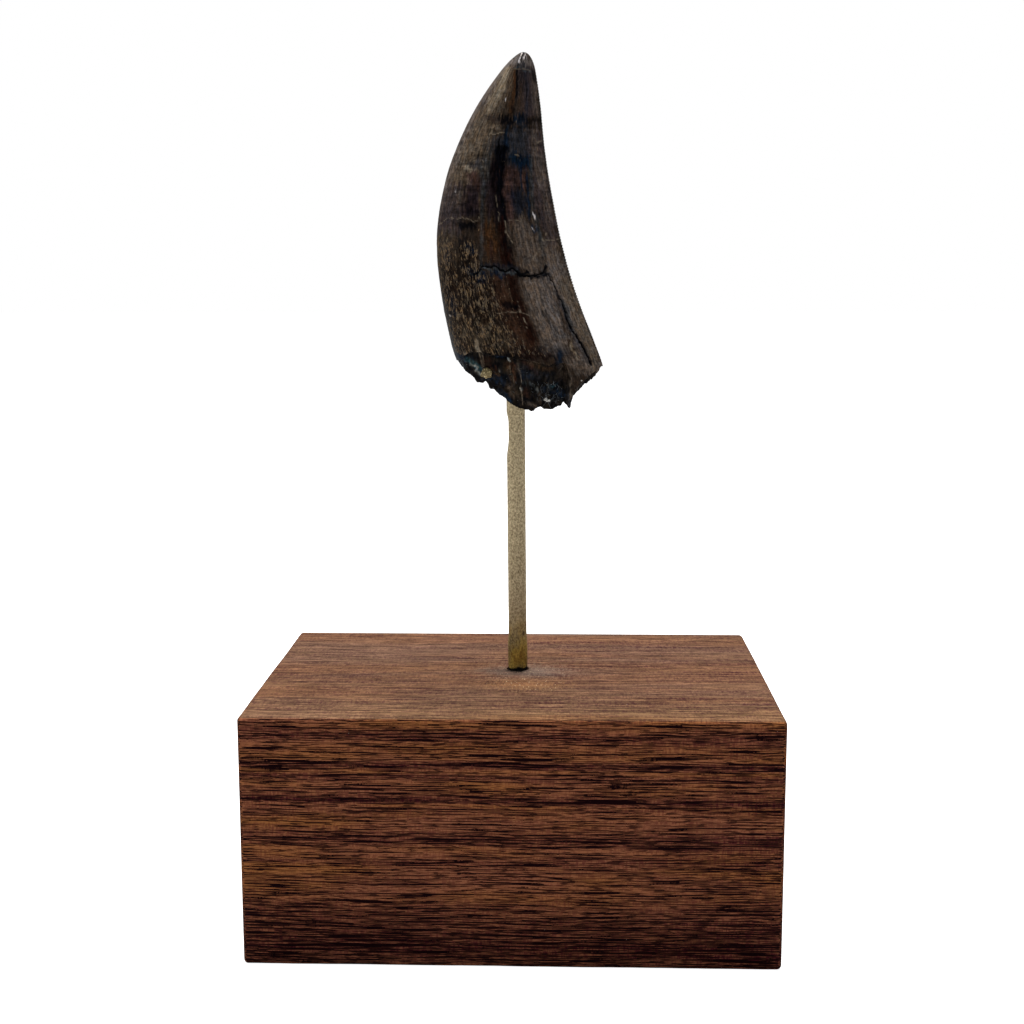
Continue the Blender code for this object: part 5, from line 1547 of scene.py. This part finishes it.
def walnut_material(settings):
    material, tree, shader = new_material("walnut")
    place = object_place(tree)
    facing_up = along_axis(tree, add(tree, "ShaderNodeNewGeometry").outputs["Normal"], 2)
    top = fade(tree, facing_up, 0.5, 0.95)

    def by_face(on_sides, on_top):
        return fade(tree, top, 0.0, 1.0, on_sides, on_top)

    radius, along_grain = ring_place(tree, place)
    growth = growth_tone(tree, radius)
    bands = fibre(tree, along_grain, 260.0, (0.05, 1, 0.7), 2.0, 0.2)
    streaks = fibre(tree, along_grain, 1500.0, (0.012, 1, 1), 2.0, 0.15)
    threads = fibre(tree, along_grain, 4400.0, (0.022, 1, 1), 1.0, 0.16)
    hatch = fibre(tree, place, 3200.0, (1, 0.3, 0.3), 2.0, 0.13)
    amber = fibre(tree, place, 70.0, (0.5, 1, 2.4), 2.0, 0.16)
    sanded = fibre(tree, place, 1600.0, (0.024, 1, 1), 2.0, 0.2)
    dark = times(tree, growth, times_plus(tree, top, -0.56, 0.74))
    dark = times_plus(tree, times(tree, sanded, top), 0.38, dark)
    dark = times_plus(tree, bands, 0.16, dark)
    dark = times_plus(tree, streaks, by_face(0.22, 0.26), dark)
    dark = times_plus(tree, threads, by_face(0.26, 0.46), dark)
    hatching = times(tree, calc(tree, "SUBTRACT", hatch, 0.5), by_face(0.42, 0.5))
    dark = calc(tree, "ADD", hatching, calc(tree, "SUBTRACT", dark, by_face(0.35, 0.42)))
    right_end = fade(tree, along_axis(tree, place, 0), 18 * MM, 36 * MM)
    right_end = times(tree, right_end, by_face(1.0, 0.0))
    dark = times_plus(tree, right_end, 0.12, dark)
    amber = times(tree, amber, by_face(1.0, 0.25))
    light = blend(tree, times(tree, amber, fade(tree, growth, 0.3, 0.6, 1.0, 0.2)),
                  tuple(settings.walnut_light), tuple(settings.walnut_amber))
    colour = blend(tree, dark, light, tuple(settings.walnut_dark))

    # pores: long dark dashes with frayed ends, more of them in the dark rings, and short ones between
    need = fade(tree, growth, 0.25, 0.85, 0.592, 0.512)
    frayed = times_plus(tree, calc(tree, "SUBTRACT", hatch, 0.5), 0.06, need)
    dashes = fibre(tree, along_grain, 5200.0, (0.020, 1, 1), 1.0, 0.5)
    pores = fade(tree, calc(tree, "SUBTRACT", dashes, frayed), 0.0, 0.025)
    short = fibre(tree, along_grain, 5600.0, (0.075, 1, 1), 1.0, 0.5)
    short = fade(tree, calc(tree, "SUBTRACT", short, calc(tree, "ADD", frayed, 0.01)), 0.0, 0.025)
    pores = calc(tree, "MAXIMUM", pores, times(tree, short, 0.8))
    # The pores are fainter on the top, under a painted sheen.
    pores = times(tree, pores, times_plus(tree, top, -0.38, 1.0))
    colour = blend(tree, pores, colour, tuple(settings.pore))

    # the top is tinted duller and greyer than the sides, and lighter towards the front: a dusty film and
    # partly a painted sheen of the light grazing it
    front_third = fade(tree, along_axis(tree, place, 1), -6 * MM, -22 * MM)
    film_and_sheen = blend(tree, front_third, tuple(settings.top_film_and_sheen), shade(settings.top_film_and_sheen, 1.24))
    cast = fibre(tree, place, 110.0, (0.16, 1, 1), 2.0, 0.12)
    cast = blend(tree, cast, (1.03, 0.98, 0.93), (0.93, 0.98, 1.05))
    film_and_sheen = blend(tree, top, (1.0, 1.0, 1.0), tinted(tree, film_and_sheen, cast))
    colour = tinted(tree, colour, film_and_sheen)

    # grey dust and glue round the rod's foot, golden grains in front of them, and a black ring at the hole,
    # painted shadow of the gap round the rod
    def patch(x, y, reach_x, reach_y):
        centre = (ROD_X + x * MM, ROD_Y + y * MM, BLOCK_HIGH[2])
        offset = vector_calc(tree, "SUBTRACT", place, centre)
        scaled = vector_calc(tree, "MULTIPLY", offset, (1 / reach_x, 1 / reach_y, 1 / reach_x))
        away = add(tree, "ShaderNodeVectorMath", {0: scaled}, operation="LENGTH").outputs["Value"]
        ragged = times_plus(tree, calc(tree, "SUBTRACT", hatch, 0.5), 0.35 * MM, away)
        return fade(tree, ragged, 0.0, 1.1 * MM, 1.0, 0.0)

    haze = patch(1.6, -1.8, 9.0, 6.0)
    colour = blend(tree, times(tree, haze, 0.40), colour, settings.dust)
    colour = blend(tree, times(tree, patch(-3.6, -1.8, 3.8, 2.0), 0.6), colour, srgb(66, 52, 46))
    grains = patch(1.8, -10.0, 8.0, 5.0)
    colour = blend(tree, times(tree, grains, 0.20), colour, srgb(170, 122, 80))
    dust = specks(tree, place, 3600.0, 0.30, 0.42, (1, 0.5, 1))
    near = calc(tree, "MAXIMUM", grains, times(tree, haze, 0.5))
    colour = blend(tree, times(tree, dust["Mask"], near), colour, srgb(226, 200, 160))
    # The black ring is painted shadow in the hole's gap.
    ring = calc(tree, "MINIMUM", times(tree, patch(-0.2, -1.0, 2.15, 2.5), 1.6), 1.0)
    colour = blend(tree, ring, colour, srgb(20, 16, 15))
    stray = specks(tree, place, 420.0, 0.05, 0.22)
    colour = blend(tree, times(tree, stray["Mask"], 0.8), colour, shade(settings.dust, 1.6))
    rough = fade(tree, dark, 0.0, 1.0, 0.58, 0.48)
    feed(tree, shader, {"Base Color": colour, "Roughness": rough, "Specular IOR Level": 0.015})
    height = times_plus(tree, pores, -1.0, times(tree, threads, 0.25))
    bump(tree, shader, height, 0.06 * MM)
    return material


# ---- the stage ----


def build_stage(settings):
    place_camera(settings)
    lay_floor(settings)
    light_room(settings)
    add_softbox("overhead", OVERHEAD_PLACE, LIGHT_AIM, OVERHEAD_SIZE, settings.overhead)
    add_softbox("side", SIDE_PLACE, LIGHT_AIM, SIDE_SIZE, settings.side)


def place_camera(settings):
    scene = bpy.context.scene
    camera = bpy.data.objects.new("camera", bpy.data.cameras.new("camera"))
    scene.collection.objects.link(camera)
    turn = Matrix.Rotation(math.radians(CAMERA_TURN), 4, "Z")
    turn = turn @ Matrix.Rotation(math.radians(90 - CAMERA_DOWN), 4, "X")
    turn = turn @ Matrix.Rotation(math.radians(CAMERA_ROLL), 4, "Z")
    camera.matrix_world = Matrix.Translation(CAMERA_PLACE) @ turn
    camera.data.sensor_width = CAMERA_SENSOR
    camera.data.lens = settings.lens
    camera.data.clip_start = CAMERA_NEAR
    scene.camera = camera
    scene.view_settings.view_transform = "Standard"


def lay_floor(settings):
    mesh = bpy.data.meshes.new("floor")
    corners = [(x * FLOOR_REACH, y * FLOOR_REACH, 0) for x, y in ((-1, -1), (1, -1), (1, 1), (-1, 1))]
    mesh.from_pydata(corners, [], [(0, 1, 2, 3)])
    floor = link_mesh("floor", mesh)
    material, tree, shader = new_material("floor")
    seen = add(tree, "ShaderNodeLightPath").outputs["Is Camera Ray"]
    feed(tree, shader, {
        "Base Color": (*settings.floor, 1.0),
        "Roughness": 0.9,
        "Specular IOR Level": 0.0,
        "Emission Color": (1, 1, 1, 1),
        "Emission Strength": times(tree, seen, settings.glow),
    })
    mesh.materials.append(material)


def light_room(settings):
    """The room's soft light, and a background that the camera sees as white."""
    world = bpy.data.worlds.new("room")
    bpy.context.scene.world = world
    world.use_nodes = True
    tree = world.node_tree
    room = tree.nodes["Background"]
    feed(tree, room, {"Color": ROOM_COLOUR, "Strength": settings.room})
    white = add(tree, "ShaderNodeBackground", {"Color": (1, 1, 1, 1), "Strength": 1.0})
    seen = add(tree, "ShaderNodeLightPath").outputs["Is Camera Ray"]
    mix = add(tree, "ShaderNodeMixShader", {0: seen, 1: room.outputs[0], 2: white.outputs[0]})
    tree.links.new(mix.outputs[0], tree.nodes["World Output"].inputs["Surface"])


def add_softbox(name, place, aim, size, power):
    light = bpy.data.lights.new(name, "AREA")
    light.shape = "SQUARE"
    light.size = size
    light.energy = power
    obj = bpy.data.objects.new(name, light)
    obj.location = place
    obj.rotation_euler = (aim - Vector(place)).to_track_quat("-Z", "Y").to_euler()
    bpy.context.scene.collection.objects.link(obj)


# ---- operators and the panel ----


class FOSSIL_OT_stage(bpy.types.Operator):
    """Sets up the floor, the softboxes, the room's light and the camera"""

    bl_idname = "fossil.stage"
    bl_label = "Stage"

    def execute(self, context):
        build_stage(context.scene.fossil_stage)
        return {"FINISHED"}


class FOSSIL_OT_block(bpy.types.Operator):
    """Makes the walnut block with its eased edges and the rod's hole"""

    bl_idname = "fossil.block"
    bl_label = "Walnut block"

    def execute(self, context):
        build_block(context.scene.fossil_stand)
        return {"FINISHED"}


class FOSSIL_OT_rod(bpy.types.Operator):
    """Makes the brass rod, nipped at one side near its top"""

    bl_idname = "fossil.rod"
    bl_label = "Brass rod"

    def execute(self, context):
        build_rod(context.scene.fossil_stand)
        return {"FINISHED"}


class FOSSIL_OT_tooth(bpy.types.Operator):
    """Makes the tooth with its enamel, cracks, denticles and broken base"""

    bl_idname = "fossil.tooth"
    bl_label = "Tooth"

    def execute(self, context):
        build_tooth(context.scene.fossil_tooth)
        return {"FINISHED"}


class FOSSIL_OT_minerals(bpy.types.Operator):
    """Grows the calcite nodule and the crystals on the tooth's broken base"""

    bl_idname = "fossil.minerals"
    bl_label = "Minerals"

    def execute(self, context):
        tooth = bpy.data.objects["tooth_detailed"]
        surface = BVHTree.FromObject(tooth, context.evaluated_depsgraph_get())
        build_nodule(surface)
        build_crystals(surface)
        return {"FINISHED"}


BUILDERS = (FOSSIL_OT_stage, FOSSIL_OT_block, FOSSIL_OT_rod, FOSSIL_OT_tooth, FOSSIL_OT_minerals)


class FOSSIL_PT_panel(bpy.types.Panel):
    """Lists the pieces of the stand in the order they are made"""

    bl_idname = "FOSSIL_PT_panel"
    bl_label = "Fossil tooth"
    bl_space_type = "VIEW_3D"
    bl_region_type = "UI"
    bl_category = "Fossil"

    def draw(self, context):
        for builder in BUILDERS:
            self.layout.operator(builder.bl_idname)
        for group in ("fossil_tooth", "fossil_stand", "fossil_stage"):
            settings = getattr(context.scene, group)
            box = self.layout.box()
            for name in settings.bl_rna.properties.keys():
                if name not in ("rna_type", "name"):
                    box.prop(settings, name)


SETTINGS = {"fossil_tooth": ToothSettings, "fossil_stand": StandSettings, "fossil_stage": StageSettings}


def register():
    for kind in (*SETTINGS.values(), *BUILDERS, FOSSIL_PT_panel):
        bpy.utils.register_class(kind)
    for name, kind in SETTINGS.items():
        setattr(bpy.types.Scene, name, bpy.props.PointerProperty(type=kind))


def unregister():
    for name in SETTINGS:
        delattr(bpy.types.Scene, name)
    for kind in (FOSSIL_PT_panel, *reversed(BUILDERS), *reversed(SETTINGS.values())):
        bpy.utils.unregister_class(kind)


def main():
    register()
    bpy.ops.fossil.stage()
    bpy.ops.fossil.block()
    bpy.ops.fossil.rod()
    bpy.ops.fossil.tooth()
    bpy.ops.fossil.minerals()


if __name__ == "__main__":
    main()
